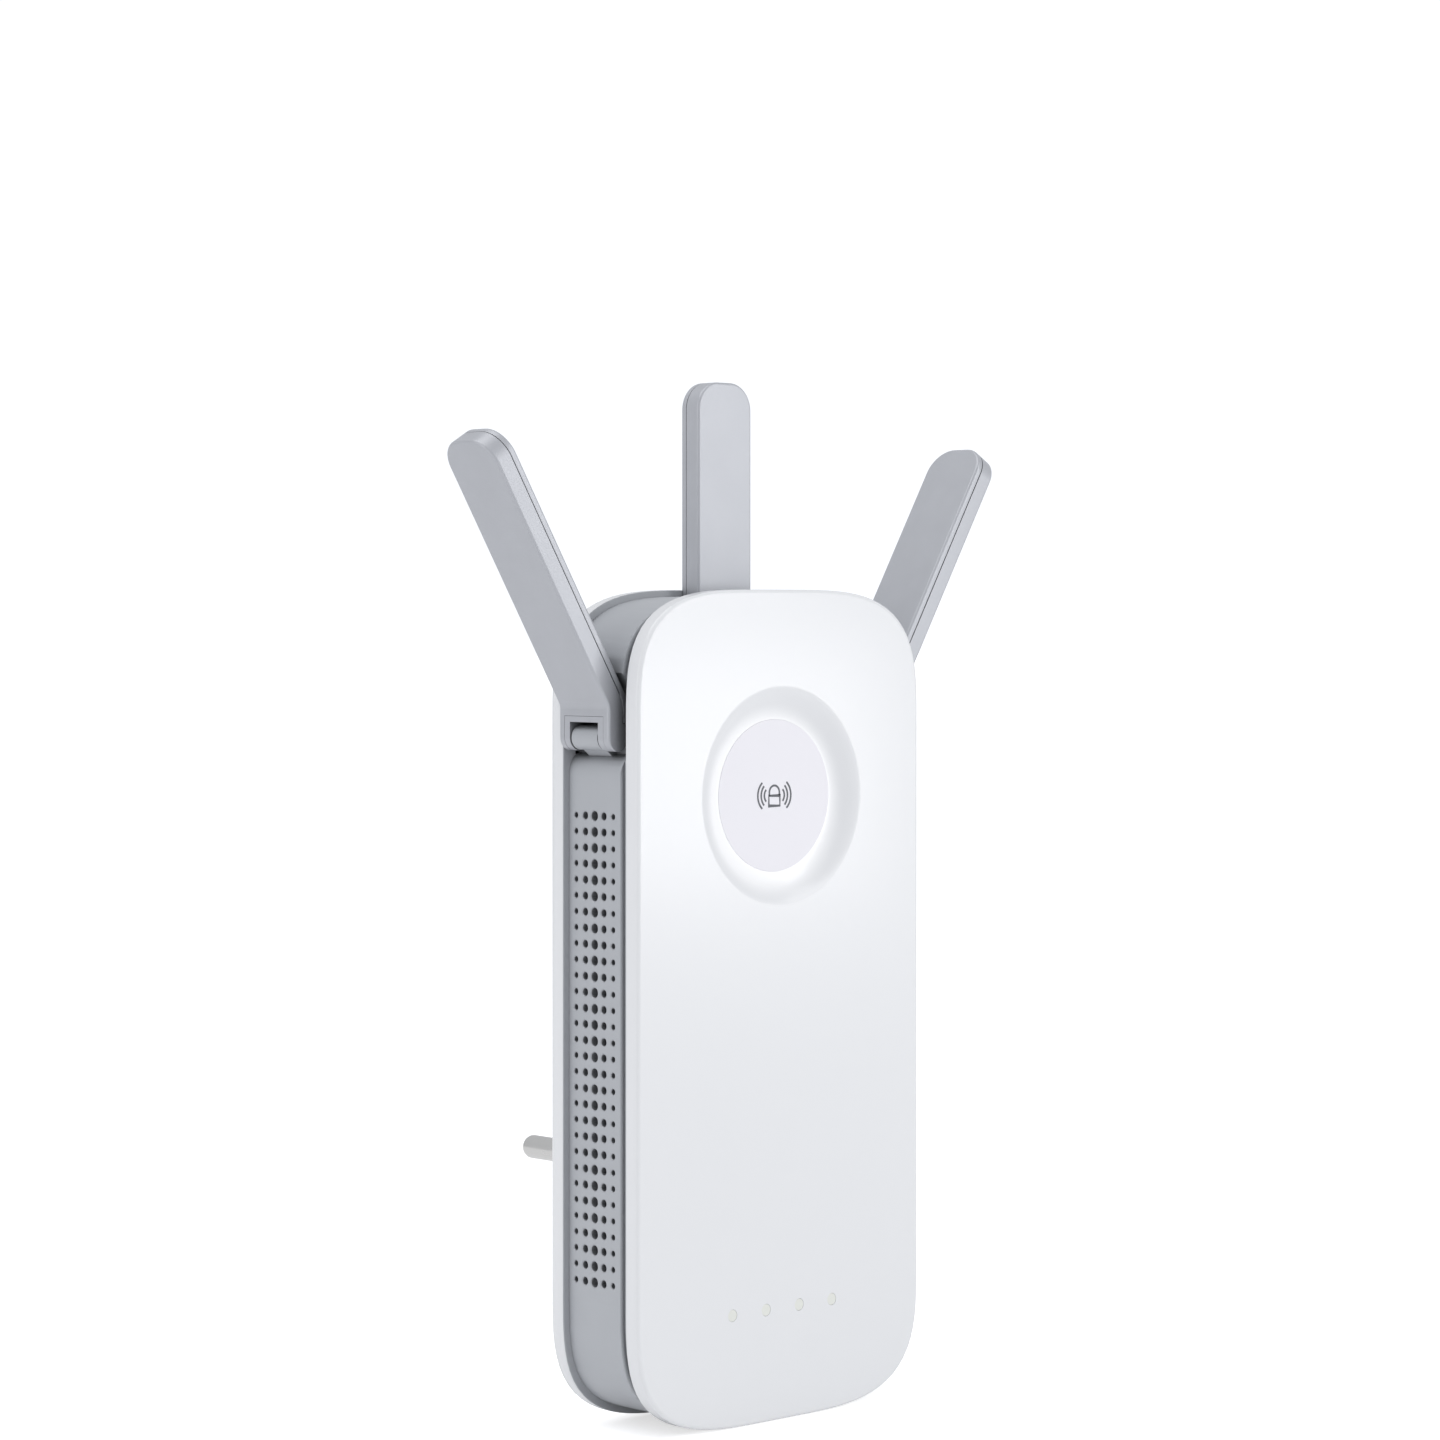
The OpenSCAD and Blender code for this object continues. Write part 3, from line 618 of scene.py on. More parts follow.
def add_painted_crevice_shade(nodes, links, shader, tone, shade_colour):
    """Paints shade into a finish's colour inside narrow gaps and inner corners, where ambient
    occlusion finds them closed in.
    """
    hidden = nodes.new("ShaderNodeAmbientOcclusion")
    hidden.samples = 6
    hidden.inputs["Distance"].default_value = CREVICE_SHADE_REACH
    open_share = nodes.new("ShaderNodeMapRange")
    open_share.interpolation_type = "SMOOTHSTEP"
    open_share.inputs["From Min"].default_value = CREVICE_SHADE_RANGE[0]
    open_share.inputs["From Max"].default_value = CREVICE_SHADE_RANGE[1]
    links.new(hidden.outputs["AO"], open_share.inputs["Value"])
    shaded_tone = nodes.new("ShaderNodeMix")
    shaded_tone.data_type = "RGBA"
    shaded_tone.inputs[6].default_value = (*shade_colour, 1.0)
    links.new(open_share.outputs["Result"], shaded_tone.inputs[0])
    links.new(tone.outputs[2], shaded_tone.inputs[7])
    links.new(shaded_tone.outputs[2], shader.inputs["Base Color"])


def add_glow(nodes, links, shader, where, colour, strength):
    """A glow that is full next to the round button and fades out across the dish."""
    centre = nodes.new("ShaderNodeVectorMath")
    centre.operation = "SUBTRACT"
    shift_x, shift_z = GLOW_SHIFT
    centre.inputs[1].default_value = (shift_x * MM, 0.0, (RING_Z + shift_z) * MM)
    links.new(where.outputs["Object"], centre.inputs[0])
    flat = nodes.new("ShaderNodeVectorMath")
    flat.operation = "MULTIPLY"
    flat.inputs[1].default_value = (1.0, 0.0, 1.0)
    links.new(centre.outputs["Vector"], flat.inputs[0])
    reach = nodes.new("ShaderNodeVectorMath")
    reach.operation = "LENGTH"
    links.new(flat.outputs["Vector"], reach.inputs[0])
    fade = nodes.new("ShaderNodeMapRange")
    fade.interpolation_type = "SMOOTHSTEP"
    fade.inputs["From Min"].default_value = GLOW_RANGE[0] * MM
    fade.inputs["From Max"].default_value = GLOW_RANGE[1] * MM
    fade.inputs["To Min"].default_value = 1.0
    fade.inputs["To Max"].default_value = 0.0
    links.new(reach.outputs["Value"], fade.inputs["Value"])
    light = nodes.new("ShaderNodeMix")
    light.data_type = "RGBA"
    light.inputs[6].default_value = (0.0, 0.0, 0.0, 1.0)
    light.inputs[7].default_value = (*colour, 1.0)
    links.new(fade.outputs["Result"], light.inputs[0])
    links.new(light.outputs[2], shader.inputs["Emission Color"])
    shader.inputs["Emission Strength"].default_value = strength


FINISHES = {}


def make_finishes(colours):
    """Every finish of the extender by a short name, in the slot names of the record."""
    white = tuple(colours.cover)
    silver = tuple(colours.antenna)
    grey = tuple(colours.side_frame)
    glow = (tuple(colours.glow), colours.glow_strength)
    FINISHES.update(
        {
            "cover_white": material(
                "glossy_white", white, 0.24, coat=0.35, bump=0.02, mottle=0.004, rough_spread=0.01
            ),
            "ring_diffuser": material(
                "ring_white",
                white,
                0.34,
                coat=0.2,
                bump=0.02,
                mottle=0.004,
                rough_spread=0.01,
                glow=glow,
            ),
            "button_white": material(
                "disc_white", tuple(colours.disc), 0.38, bump=0.03, mottle=0.01
            ),
            "symbol": material("symbol_print", tuple(colours.symbol), 0.5, mottle=0.05),
            "frame_grey": material(
                "frame_satin",
                grey,
                0.4,
                metallic=0.15,
                grain=2600.0,
                bump=0.12,
                mottle=0.05,
                # painted shade: the frame's colour is darkened in its gaps and inner corners
                crevice_shade=0.7,
            ),
            # painted shade: the lip's grey is made darker than the frame's to stand for the shade
            # in the step between frame and rear cover
            "gasket_shade_grey": material(
                "gasket_painted_shade", tuple(c * 0.85 for c in grey), 0.5, grain=2600.0, bump=0.15
            ),
            "antenna_silver": material(
                "antenna_paint",
                silver,
                0.4,
                metallic=0.33,
                grain=3200.0,
                bump=0.12,
                mottle=0.06,
                # painted shade: the antennas' colour is darkened in their gaps and inner corners
                crevice_shade=0.7,
            ),
            "bracket_silver": material(
                "bracket_paint",
                silver,
                0.44,
                metallic=0.3,
                grain=3200.0,
                bump=0.14,
                mottle=0.06,
                # painted shade: the brackets' colour is darkened in their gaps and inner corners
                crevice_shade=0.7,
            ),
            "shroud_white": material("shroud_plastic", (0.8, 0.8, 0.8), 0.6, mottle=0.05),
            "plug_white": material("plug_plastic", (0.78, 0.79, 0.8), 0.45, bump=0.2, mottle=0.03),
            "nickel": material(
                "pin_nickel",
                (0.72, 0.71, 0.69),
                0.24,
                metallic=1.0,
                grain=900.0,
                bump=0.25,
                mottle=0.12,
                rough_spread=0.1,
                streak=(4.0, 0.4, 4.0),
            ),
            "brass_contact": material(
                "contact_brass", (0.75, 0.58, 0.28), 0.3, metallic=1.0, mottle=0.15
            ),
            "board_green": material(
                "board_mask", (0.02, 0.16, 0.07), 0.35, coat=0.4, grain=700.0, mottle=0.3
            ),
            "chip_black": material(
                "chip_epoxy", (0.025, 0.025, 0.028), 0.55, grain=4000.0, bump=0.4, mottle=0.2
            ),
            "aluminium_bare": material(
                "extruded_aluminium",
                (0.72, 0.73, 0.75),
                0.34,
                metallic=1.0,
                bump=0.3,
                mottle=0.1,
                streak=(1.0, 1.0, 0.1),
            ),
            "led_white": material("led_lens", (0.85, 0.86, 0.8), 0.25, coat=0.3, mottle=0.08),
            "jack_grey": material(
                "socket_plastic", (0.09, 0.092, 0.1), 0.5, grain=2400.0, bump=0.3, mottle=0.12
            ),
            "tape_yellow": material("winding_tape", (0.82, 0.62, 0.1), 0.35, mottle=0.2),
            "sleeve_blue": material("capacitor_sleeve", (0.03, 0.08, 0.28), 0.3, mottle=0.15),
            "winding_copper": material(
                "copper_winding",
                (0.8, 0.36, 0.16),
                0.3,
                metallic=1.0,
                bump=0.6,
                mottle=0.25,
                streak=(1.0, 8.0, 1.0),
            ),
            "fuse_brown": material("fuse_body", (0.2, 0.1, 0.05), 0.4, mottle=0.2),
            "sheet_clear": material(
                "insulating_film", (0.8, 0.82, 0.82), 0.25, mottle=0.06, see_through=0.5
            ),
            "steel": material(
                "zinc_steel",
                (0.62, 0.62, 0.6),
                0.32,
                metallic=1.0,
                grain=1800.0,
                bump=0.3,
                mottle=0.15,
            ),
            "lead_grey": material("lead_jacket", (0.05, 0.05, 0.055), 0.5, mottle=0.2),
            "label_grey": material(
                "bare_label", (0.62, 0.63, 0.65), 0.5, metallic=0.3, grain=1200.0, mottle=0.05
            ),
            "cap_grey": material("cap_rubber", (0.3, 0.3, 0.32), 0.7, bump=0.4, mottle=0.1),
            "key_grey": material(
                "key_plastic", (0.66, 0.67, 0.69), 0.4, grain=2600.0, bump=0.15, mottle=0.04
            ),
        }
    )


# ---- operators ----


class EXTENDER_OT_front_cover(bpy.types.Operator):
    """Make the front cover with its rounded edge, ring seat and status light holes"""

    bl_idname = "extender.front_cover"
    bl_label = "Front Cover"

    def execute(self, context):
        rounding = context.scene.extender_sizes.cover_round / MM
        loops = [rim_loop(RING_R, COVER_T), rim_loop(RING_R, 0.0)]
        for i in range(COVER_ROUND_STEPS + 1):
            a = math.pi / 2 * i / COVER_ROUND_STEPS
            loops.append(
                outline_loop(rounding * (1 - math.sin(a)), rounding * (1 - math.cos(a)))
            )
        loops += [
            outline_loop(0.0, COVER_SIDE - EDGE_R),
            outline_loop(EDGE_MID, COVER_SIDE - EDGE_MID),
            outline_loop(EDGE_R, COVER_SIDE),
            outline_loop(COVER_T, COVER_SIDE),
            outline_loop(COVER_T, COVER_T),
        ]
        cover = loft("front_cover_shell", loops, ring=True)
        pegs = [peg("hole", x, STATUS_Z, STATUS_R, -1.0, COVER_T + 1) for x in STATUS_X]
        combine(cover, pegs, "DIFFERENCE")
        shade(cover, 30.0)
        hand_over(cover, FINISHES["cover_white"], "housing", ["front_cover"])
        return {"FINISHED"}


class EXTENDER_OT_light_ring(bpy.types.Operator):
    """Make the dished light ring that meets the front cover without a seam"""

    bl_idname = "extender.light_ring"
    bl_label = "Light Ring"

    def execute(self, context):
        inner = BUTTON_R + BUTTON_PLAY
        loops = []
        for i in range(DISH_STEPS + 1):
            t = i / DISH_STEPS
            rise = math.sin(math.pi / 2 * t) ** DISH_CURVE
            loops.append(rim_loop(RING_R + (inner - RING_R) * t, DISH_DEPTH * rise))
        loops += [
            rim_loop(inner, DISH_DEPTH + FLANGE_BACK),
            rim_loop(RING_FLANGE_R, DISH_DEPTH + FLANGE_BACK),
            rim_loop(RING_FLANGE_R, COVER_T + SEAT),
            rim_loop(RING_R, COVER_T + SEAT),
        ]
        ring = shade(loft("light_ring_dish", loops, ring=True), 40.0)
        hand_over(ring, FINISHES["ring_diffuser"], "housing", ["light_ring"])
        return {"FINISHED"}


def stroke(points, width, closed=False):
    """Points and faces of a thin raised line along points in X and Z on the button's face."""
    count = len(points)
    left, right = [], []
    for i, (x, z) in enumerate(points):
        before = points[i - 1] if i or closed else points[i]
        after = points[(i + 1) % count] if i < count - 1 or closed else points[i]
        along = Vector((after[0] - before[0], after[1] - before[1])).normalized()
        first = Vector((x - before[0], z - before[1]))
        reach = width / 2
        if first.length > 1e-6 and (i < count - 1 or closed):
            turn = max(first.normalized().dot(along), 0.5)
            reach /= turn
        left.append((x - along.y * reach, z + along.x * reach))
        right.append((x + along.y * reach, z - along.x * reach))
    made, faces = [], []
    for (lx, lz), (rx, rz) in zip(left, right):
        for x, z in ((lx, lz), (rx, rz)):
            for depth in (SYMBOL_FRONT, SYMBOL_BACK):
                made.append((x, FRONT_Y + depth, RING_Z + z))
    for i in range(count if closed else count - 1):
        a, b = 4 * i, 4 * ((i + 1) % count)
        faces += [
            (a, a + 2, b + 2, b),
            (a + 1, b + 1, b + 3, a + 3),
            (a, b, b + 1, a + 1),
            (a + 2, a + 3, b + 3, b + 2),
        ]
    if not closed:
        last = 4 * (count - 1)
        faces += [(0, 1, 3, 2), (last, last + 2, last + 3, last + 1)]
    return made, faces


class EXTENDER_OT_round_button(bpy.types.Operator):
    """Make the round button with its padlock symbol between three pairs of arcs"""

    bl_idname = "extender.round_button"
    bl_label = "Round Button"

    def execute(self, context):
        profile = [
            (BUTTON_R - 0.1, DISC_FRONT),
            (BUTTON_R - 0.04, DISC_FRONT + 0.02),
            (BUTTON_R, DISC_FRONT + 0.08),
            (BUTTON_R, DISH_DEPTH + DISC_SKIRT),
            (BUTTON_HIGH.x, DISH_DEPTH + DISC_FLANGE[0]),
            (BUTTON_HIGH.x, DISH_DEPTH + DISC_FLANGE[1]),
        ]
        disc = shade(loft("round_button_disc", [rim_loop(r, d) for r, d in profile]), 40.0)
        hand_over(disc, FINISHES["button_white"], "round_button", ["wps_button"])

        width = context.scene.extender_sizes.symbol_line / MM
        lock = [
            (-LOCK_HALF_W, LOCK_FOOT),
            (LOCK_HALF_W, LOCK_FOOT),
            (LOCK_HALF_W, LOCK_TOP),
            (-LOCK_HALF_W, LOCK_TOP),
        ]
        arch = [
            (SHACKLE_HALF_W * math.cos(a), SHACKLE_Z + SHACKLE_RISE * math.sin(a))
            for a in (math.pi * i / 20 for i in range(21))
        ]
        shackle = [(SHACKLE_HALF_W, LOCK_TOP), *arch, (-SHACKLE_HALF_W, LOCK_TOP)]
        lines = [(lock, True), (shackle, False)]
        for reach, half, radius in WAVES:
            spread = math.asin(half / radius)
            for side in (-1, 1):
                arc = [
                    (side * (reach - radius + radius * math.cos(a)), radius * math.sin(a))
                    for a in (spread * (i / 8 - 1) for i in range(17))
                ]
                lines.append((arc, False))
        points, faces = [], []
        for line, closed in lines:
            made, joined = stroke(line, width, closed)
            faces += [tuple(len(points) + i for i in face) for face in joined]
            points += made
        symbol = new_object("padlock_symbol", points, faces)
        shade(symbol)
        hand_over(symbol, FINISHES["symbol"], "round_button")
        return {"FINISHED"}


class EXTENDER_OT_middle_frame(bpy.types.Operator):
    """Make the grey frame between the covers, with its vents and hinge seats"""

    bl_idname = "extender.middle_frame"
    bl_label = "Middle Frame"

    def execute(self, context):
        middle = from_node("middle_frame_band", "mid_frame")
        self.slim_knuckles(middle)
        self.cut_groove(middle)
        shade(middle, 24.0)
        hand_over(middle, FINISHES["frame_grey"], "housing", ["mid_frame"])
        return {"FINISHED"}

    def cut_groove(self, middle):
        """Cuts the shadow groove behind the front cover and rounds its far edge."""
        deep, shallow = GROOVE_INSET, FRAME_INSET
        section = [(deep, GROOVE_START), (shallow - 1.0, GROOVE_START)]
        section.append((shallow - 1.0, GROOVE_FLOOR + SHOULDER))
        for i in range(SHOULDER_STEPS + 1):
            turn = math.pi / 2 * i / SHOULDER_STEPS
            inset = shallow + (deep - shallow) * (1.0 - math.cos(turn))
            section.append((inset, GROOVE_FLOOR + SHOULDER * (1.0 - math.sin(turn))))
        groove = loft("groove", [outline_loop(*spot) for spot in section], ring=True)
        combine(middle, [groove], "DIFFERENCE")

    def slim_knuckles(self, middle):
        """Narrows the round side knuckles so that a gap shows above them."""
        slim = SLIM_KNUCKLE_R / KNUCKLE_R
        for point in middle.data.vertices:
            x, y, z = point.co / MM
            out, up = abs(x) - SIDE_PIN[0], z - SIDE_PIN[2]
            near = PIN_HOLE_R < math.hypot(out, up) < KNUCKLE_R + SEAT
            if near and abs(y - SIDE_PIN[1]) < KNUCKLE_HALF + SEAT:
                point.co.x = math.copysign(SIDE_PIN[0] + out * slim, x) * MM
                point.co.z = (SIDE_PIN[2] + up * slim) * MM


def well_side(grow):
    """Side view in depth and height of the middle antenna's well and folding recess."""
    pin_d, pin_z = MIDDLE_PIN[1] - FRONT_Y, MIDDLE_PIN[2]
    floor = pin_z - ANT_HALF_T - WELL_PLAY - grow
    foot = pin_z - LEG * math.cos(ELBOW) - BLADE - WELL_PLAY
    return [
        (WELL_DEPTH - grow, TOP_Z + 2),
        (WELL_DEPTH - grow, floor),
        (pin_d - ANT_HALF_T - RAMP_PLAY - grow / 2, floor),
        (FOLD_DEPTH - grow, pin_z - ANT_HALF_T - RAMP_RUN - grow),
        (FOLD_DEPTH - grow, foot - grow),
        (BACK_D + 2, foot - grow),
        (BACK_D + 2, TOP_Z + 2),
    ]


def crown_loops(shrink):
    """Loops of the crowned back, shrunk inwards, from its straight side to its flat middle."""
    rise = BACK_D - REAR_EDGE - REAR_SIDE
    loops = []
    for i in range(CROWN_STEPS + 1):
        a = math.pi / 2 * i / CROWN_STEPS
        inset = shrink + CROWN_REACH * (1 - math.cos(a))
        loops.append(outline_loop(inset, REAR_EDGE + REAR_SIDE + (rise - shrink) * math.sin(a)))
    return loops


def knuckle_points(centre, reach):
    """Side outline of a knuckle and its neck in Y and Z about a pin along X."""
    mouth = math.asin(NECK_HALF_T / KNUCKLE_R)
    turn = 2 * math.pi - 2 * mouth
    aim = Vector((math.sin(NECK_ANGLE), math.cos(NECK_ANGLE)))
    side = Vector((-aim.y, aim.x))
    start = math.atan2(aim.y, aim.x) + mouth
    ring = [
        (KNUCKLE_R * math.cos(a), KNUCKLE_R * math.sin(a))
        for a in (start + turn * i / KNUCKLE_STEPS for i in range(KNUCKLE_STEPS + 1))
    ]
    ends = [aim * reach - side * NECK_HALF_T, aim * reach + side * NECK_HALF_T]
    return [(centre[0] + y, centre[1] + z) for y, z in ring + [tuple(p) for p in ends]]


class EXTENDER_OT_rear_cover(bpy.types.Operator):
    """Make the crowned rear cover with the folding recess and the screw wells"""

    bl_idname = "extender.rear_cover"
    bl_label = "Rear Cover"

    def execute(self, context):
        rim = REAR_EDGE + GASKET_T
        section = (
            (GASKET_INSET, REAR_EDGE),
            (SEAT, REAR_EDGE + GASKET_ROUND),
            (SEAT, rim),
            (GASKET_INNER, rim),
            (GASKET_INNER, REAR_EDGE),
        )
        # painted shade: this lip's darker grey stands for the shade in the step between frame and
        # rear cover
        gasket = shade(loft("rear_shaded_lip", [outline_loop(i, d) for i, d in section], ring=True))
        hand_over(gasket, FINISHES["gasket_shade_grey"], "housing")
        outer = [
            outline_loop(COVER_T, rim),
            outline_loop(EDGE_R, rim),
            outline_loop(EDGE_MID, rim + EDGE_MID),
            outline_loop(0.0, rim + EDGE_R),
        ] + crown_loops(0.0)
        inner = crown_loops(COVER_T)
        cup = loft("rear_cover_shell", list(reversed(inner)) + outer)

        walls = prism("walls", well_side(WALL_T), -WALL_HALF, WALL_HALF, along_x_from_front)
        space = [
            outline_loop(ROOM_INSET, ROOM_FRONT),
            outline_loop(ROOM_INSET, REAR_EDGE + SEAT),
            outline_loop(0.0, REAR_EDGE + SEAT),
        ]
        combine(walls, [loft("room", space + crown_loops(0.0))], "INTERSECT")
        posts = [peg("post", x, z, POST_R, REAR_EDGE + SEAT, POST_END) for x, z in SCREWS]
        combine(cup, [walls, *posts], "UNION")

        side = well_side(0.0)
        cuts = [prism("recess", side, -RECESS_HALF, RECESS_HALF, along_x_from_front)]
        plug_hole_r = PLUG_R + PLUG_PLAY
        cuts.append(peg("plug_hole", 0.0, 0.0, plug_hole_r, REAR_EDGE, BACK_D + 1, 96))
        for x, z in SCREWS:
            cuts.append(peg("well", x, z, SCREW_WELL_R, REAR_EDGE + SCREW_FLOOR, BACK_D + 1))
            cuts.append(peg("bore", x, z, SCREW_BORE_R, REAR_EDGE - 1, REAR_EDGE + 3))
        combine(cup, cuts, "DIFFERENCE")
        soften(cup, 0.0003, 40.0, 3)
        shade(cup, 30.0)
        hand_over(cup, FINISHES["cover_white"], "housing", ["rear_cover"])

        reach = (MIDDLE_PIN_DEPTH - WELL_DEPTH + NECK_SINK) / -math.sin(NECK_ANGLE)
        points = knuckle_points(MIDDLE_PIN[1:], reach)
        knuckle = prism("middle_knuckle", points, -KNUCKLE_HALF, KNUCKLE_HALF, along_x)
        shade(soften(knuckle, 0.0004, 40.0, 3), 30.0)
        hand_over(knuckle, FINISHES["cover_white"], "housing")
        return {"FINISHED"}


# ---- antennas, laid out with the pin along X at the origin and the blade leaning to +Y ----

TANGENT = BEND_R * math.tan(ELBOW / 2)
BEND_START = LEG - TANGENT
BEND_END = BEND_START + BEND_R * ELBOW
TIP_RUN = BEND_END + BLADE - TANGENT


def bend(run, off):
    """The point in Y and Z at a run along the antenna and an offset through its thickness."""
    if run <= BEND_START:
        return off, run
    turn = min(run, BEND_END) - BEND_START
    a = turn / BEND_R
    y = BEND_R - (BEND_R - off) * math.cos(a)
    z = BEND_START + (BEND_R - off) * math.sin(a)
    past = max(run - BEND_END, 0.0)
    return y + past * math.sin(ELBOW), z + past * math.cos(ELBOW)


def bend_runs():
    """Runs of the steps through the bend, from its start to its end."""
    return [
        BEND_START + (BEND_END - BEND_START) * i / BEND_STEPS for i in range(BEND_STEPS + 1)
    ]


def antenna_stations(inset):
    """Half outline as half width, run and thickness share, from the round foot to the tip."""
    rows = []
    for a in FOOT_ANGLES:
        angle = math.radians(a)
        rows.append((ANT_HALF_W - inset, -ANT_HALF_T * math.sin(angle), math.cos(angle)))
    runs = [0.0, 2.0, 4.0]
    runs += bend_runs()
    runs += [BEND_END + (TIP_RUN - TIP_R - BEND_END) * i / 4 for i in range(1, 5)]
    rows += [(ANT_HALF_W - inset, run, 1.0) for run in runs]
    for i in range(1, TIP_STEPS + 1):
        a = math.pi / 2 * i / TIP_STEPS
        rows.append(
            (
                ANT_HALF_W - TIP_R + (TIP_R - inset) * math.cos(a),
                TIP_RUN - TIP_R + (TIP_R - inset) * math.sin(a),
                1.0,
            )
        )
    return rows


def antenna_blank(name, rounding):
    """The whole antenna with round edges, before it is parted."""
    levels = []
    for i in range(5):
        a = math.pi / 2 * i / 4
        levels.append((rounding * (1 - math.sin(a)), rounding * (1 - math.cos(a)) - ANT_HALF_T))
    levels += [(inset, -off) for inset, off in reversed(levels)]
    points, faces = [], []
    rows = len(antenna_stations(0.0))
    for inset, off in levels:
        for half, run, share in antenna_stations(inset):
            y, z = bend(run, off * share)
            points += [(half, y, z), (-half, y, z)]
    stride = 2 * rows
    for k in range(len(levels) - 1):
        low, high = k * stride, (k + 1) * stride
        for j in range(rows - 1):
            for side in (0, 1):
                a, b = 2 * j + side, 2 * (j + 1) + side
                faces.append((low + a, low + b, high + b, high + a))
        for j in (0, rows - 1):
            a = 2 * j
            faces.append((low + a, low + a + 1, high + a + 1, high + a))
    for base in (0, (len(levels) - 1) * stride):
        for j in range(rows - 1):
            a, b = base + 2 * j, base + 2 * (j + 1)
            faces.append((a, a + 1, b + 1, b))
    return new_object(name, points, faces)


def lid_region(name, lid, start, inner):
    """A solid round the lid's layer: on the near side for -1, on the far side for 1."""
    edge = ANT_HALF_T - LID_T - inner
    offs = sorted((lid * edge, lid * (ANT_HALF_T + 2.0)))
    runs = [start, *bend_runs(), TIP_RUN + 3]
    section = [bend(run, offs[0]) for run in runs]
    section += [bend(run, offs[1]) for run in reversed(runs)]
    return prism(name, section, -LID_CUTTER_HALF, LID_CUTTER_HALF, along_x)


def notch_block(name, half, top):
    """A block round the hinge, open below, that cuts or keeps what lies within it."""
    reach = CUTTER_REACH
    section = [(-half, -reach), (half, -reach), (half, reach), (-half, reach)]
    return prism(name, section, -reach, top, lambda x, y, z: (x, y, z))


def pin_cutter():
    """A round cutter along X for the hinge pin's bore."""
    section = [
        (PIN_BORE_R * math.cos(a), PIN_BORE_R * math.sin(a))
        for a in (math.pi * i / 12 for i in range(24))
    ]
    half = NOTCH_HALF + PIN_BORE_MORE
    return prism("pin_bore", section, -half, half, along_x)


def copy_of(piece, name):
    """A second piece with its own copy of the mesh."""
    made = piece.copy()
    made.data = piece.data.copy()
    made.name = name
    bpy.context.scene.collection.objects.link(made)
    return made


def make_antenna(sizes, side, lid, place):
    """The shell, lid and bracket of one antenna, put in place and given to its body."""
    body = side + "_antenna"
    blank = antenna_blank(side + "_blank", sizes.antenna_round / MM)
    bracket = copy_of(blank, side + "_antenna_hinge_bracket")
    combine(bracket, [notch_block("keep", NOTCH_HALF, NOTCH_CAP)], "INTERSECT")
    opening = notch_block("opening", EAR_HALF, NOTCH_TOP)
    combine(bracket, [opening, pin_cutter()], "DIFFERENCE")

    combine(blank, [notch_block("notch", NOTCH_HALF + SEAT, NOTCH_CAP + SEAT)], "DIFFERENCE")
    cover = copy_of(blank, side + "_antenna_face")
    combine(cover, [lid_region("keep", lid, LID_START, 0.0)], "INTERSECT")
    blank.name = side + "_antenna_body"
    cuts = [lid_region("part", lid, LID_START - PART_GAP, PART_GAP), pin_cutter()]
    combine(blank, cuts, "DIFFERENCE")

    finish_names = ("antenna_silver", "antenna_silver", "bracket_silver")
    nodes = ("shell", "lid", "bracket")
    for piece, finish, node in zip((blank, cover, bracket), finish_names, nodes):
        soften(piece, sizes.part_round, 40.0, 2)
        piece.data.transform(place)
        shade(piece, 32.0)
        hand_over(piece, FINISHES[finish], body, [f"{side}_antenna_{node}"])


class EXTENDER_OT_antennas(bpy.types.Operator):
    """Make the three folding antennas with their shells, lids and hinge brackets"""

    bl_idname = "extender.antennas"
    bl_label = "Antennas"

    def execute(self, context):
        sizes = context.scene.extender_sizes
        x, y, z = SIDE_PIN
        quarter = math.pi / 2
        rows = (
            ("left", -1, (-x * MM, y * MM, z * MM), quarter, "Z"),
            ("right", -1, (x * MM, y * MM, z * MM), -quarter, "Z"),
            ("middle", 1, Vector(MIDDLE_PIN) * MM, ELBOW, "X"),
        )
        for side, lid, pin, turn, axis in rows:
            place = Matrix.Translation(pin) @ Matrix.Rotation(turn, 4, axis)
            make_antenna(sizes, side, lid, place)
        return {"FINISHED"}


class EXTENDER_OT_keys_and_plug(bpy.types.Operator):
    """Round the edges of the side keys, the network socket and the plug"""

    bl_idname = "extender.keys_and_plug"
    bl_label = "Keys, Socket and Plug"

    def execute(self, context):
        pieces = (
            ("light_key_cap", "led_button", "light_key", "key_grey", 0.0003),
            ("power_key_cap", "power_button", "power_key", "key_grey", 0.0003),
            ("network_socket_body", "ethernet_jack", "housing", "jack_grey", 0.00015),
            ("plug_body", "plug_block", "housing", "plug_white", 0.0004),
        )
        for name, node, body, finish, radius in pieces:
            piece = shade(soften(from_node(name, node), radius, 40.0, 3), 30.0)
            hand_over(piece, FINISHES[finish], body, [node])
        return {"FINISHED"}


KEPT_NODES = {
    "shroud_white": ["light_shroud"],
    "led_white": ["status_light_pipes", "ring_leds", "status_leds"],
    "nickel": ["plug_pins"],
    "brass_contact": [
        "pin_contacts",
        "jack_contacts",
        "left_radiator",
        "right_radiator",
        "middle_radiator",
    ],
    "board_green": ["main_board", "power_board"],
    "chip_black": ["board_chips", "wps_switch", "side_switches", "board_link"],
    "aluminium_bare": ["heat_sink", "rf_shields"],
    "tape_yellow": ["transformer"],
    "sleeve_blue": ["capacitors"],
    "winding_copper": ["mains_filter"],
    "fuse_brown": ["fuse"],
    "sheet_clear": ["insulation_sheet"],
    "steel": [
        "case_screws",
        "board_screws",
        "power_board_screws",
        "left_hinge_pin",
        "right_hinge_pin",
        "middle_hinge_pin",
        "left_hinge_washers",
        "right_hinge_washers",
        "middle_hinge_washers",
    ],
    "lead_grey": ["coax_left", "coax_right", "coax_middle"],
    "label_grey": ["rating_label"],
    "cap_grey": ["wps_switch_cap"],
    "key_grey": ["reset_plunger"],
}


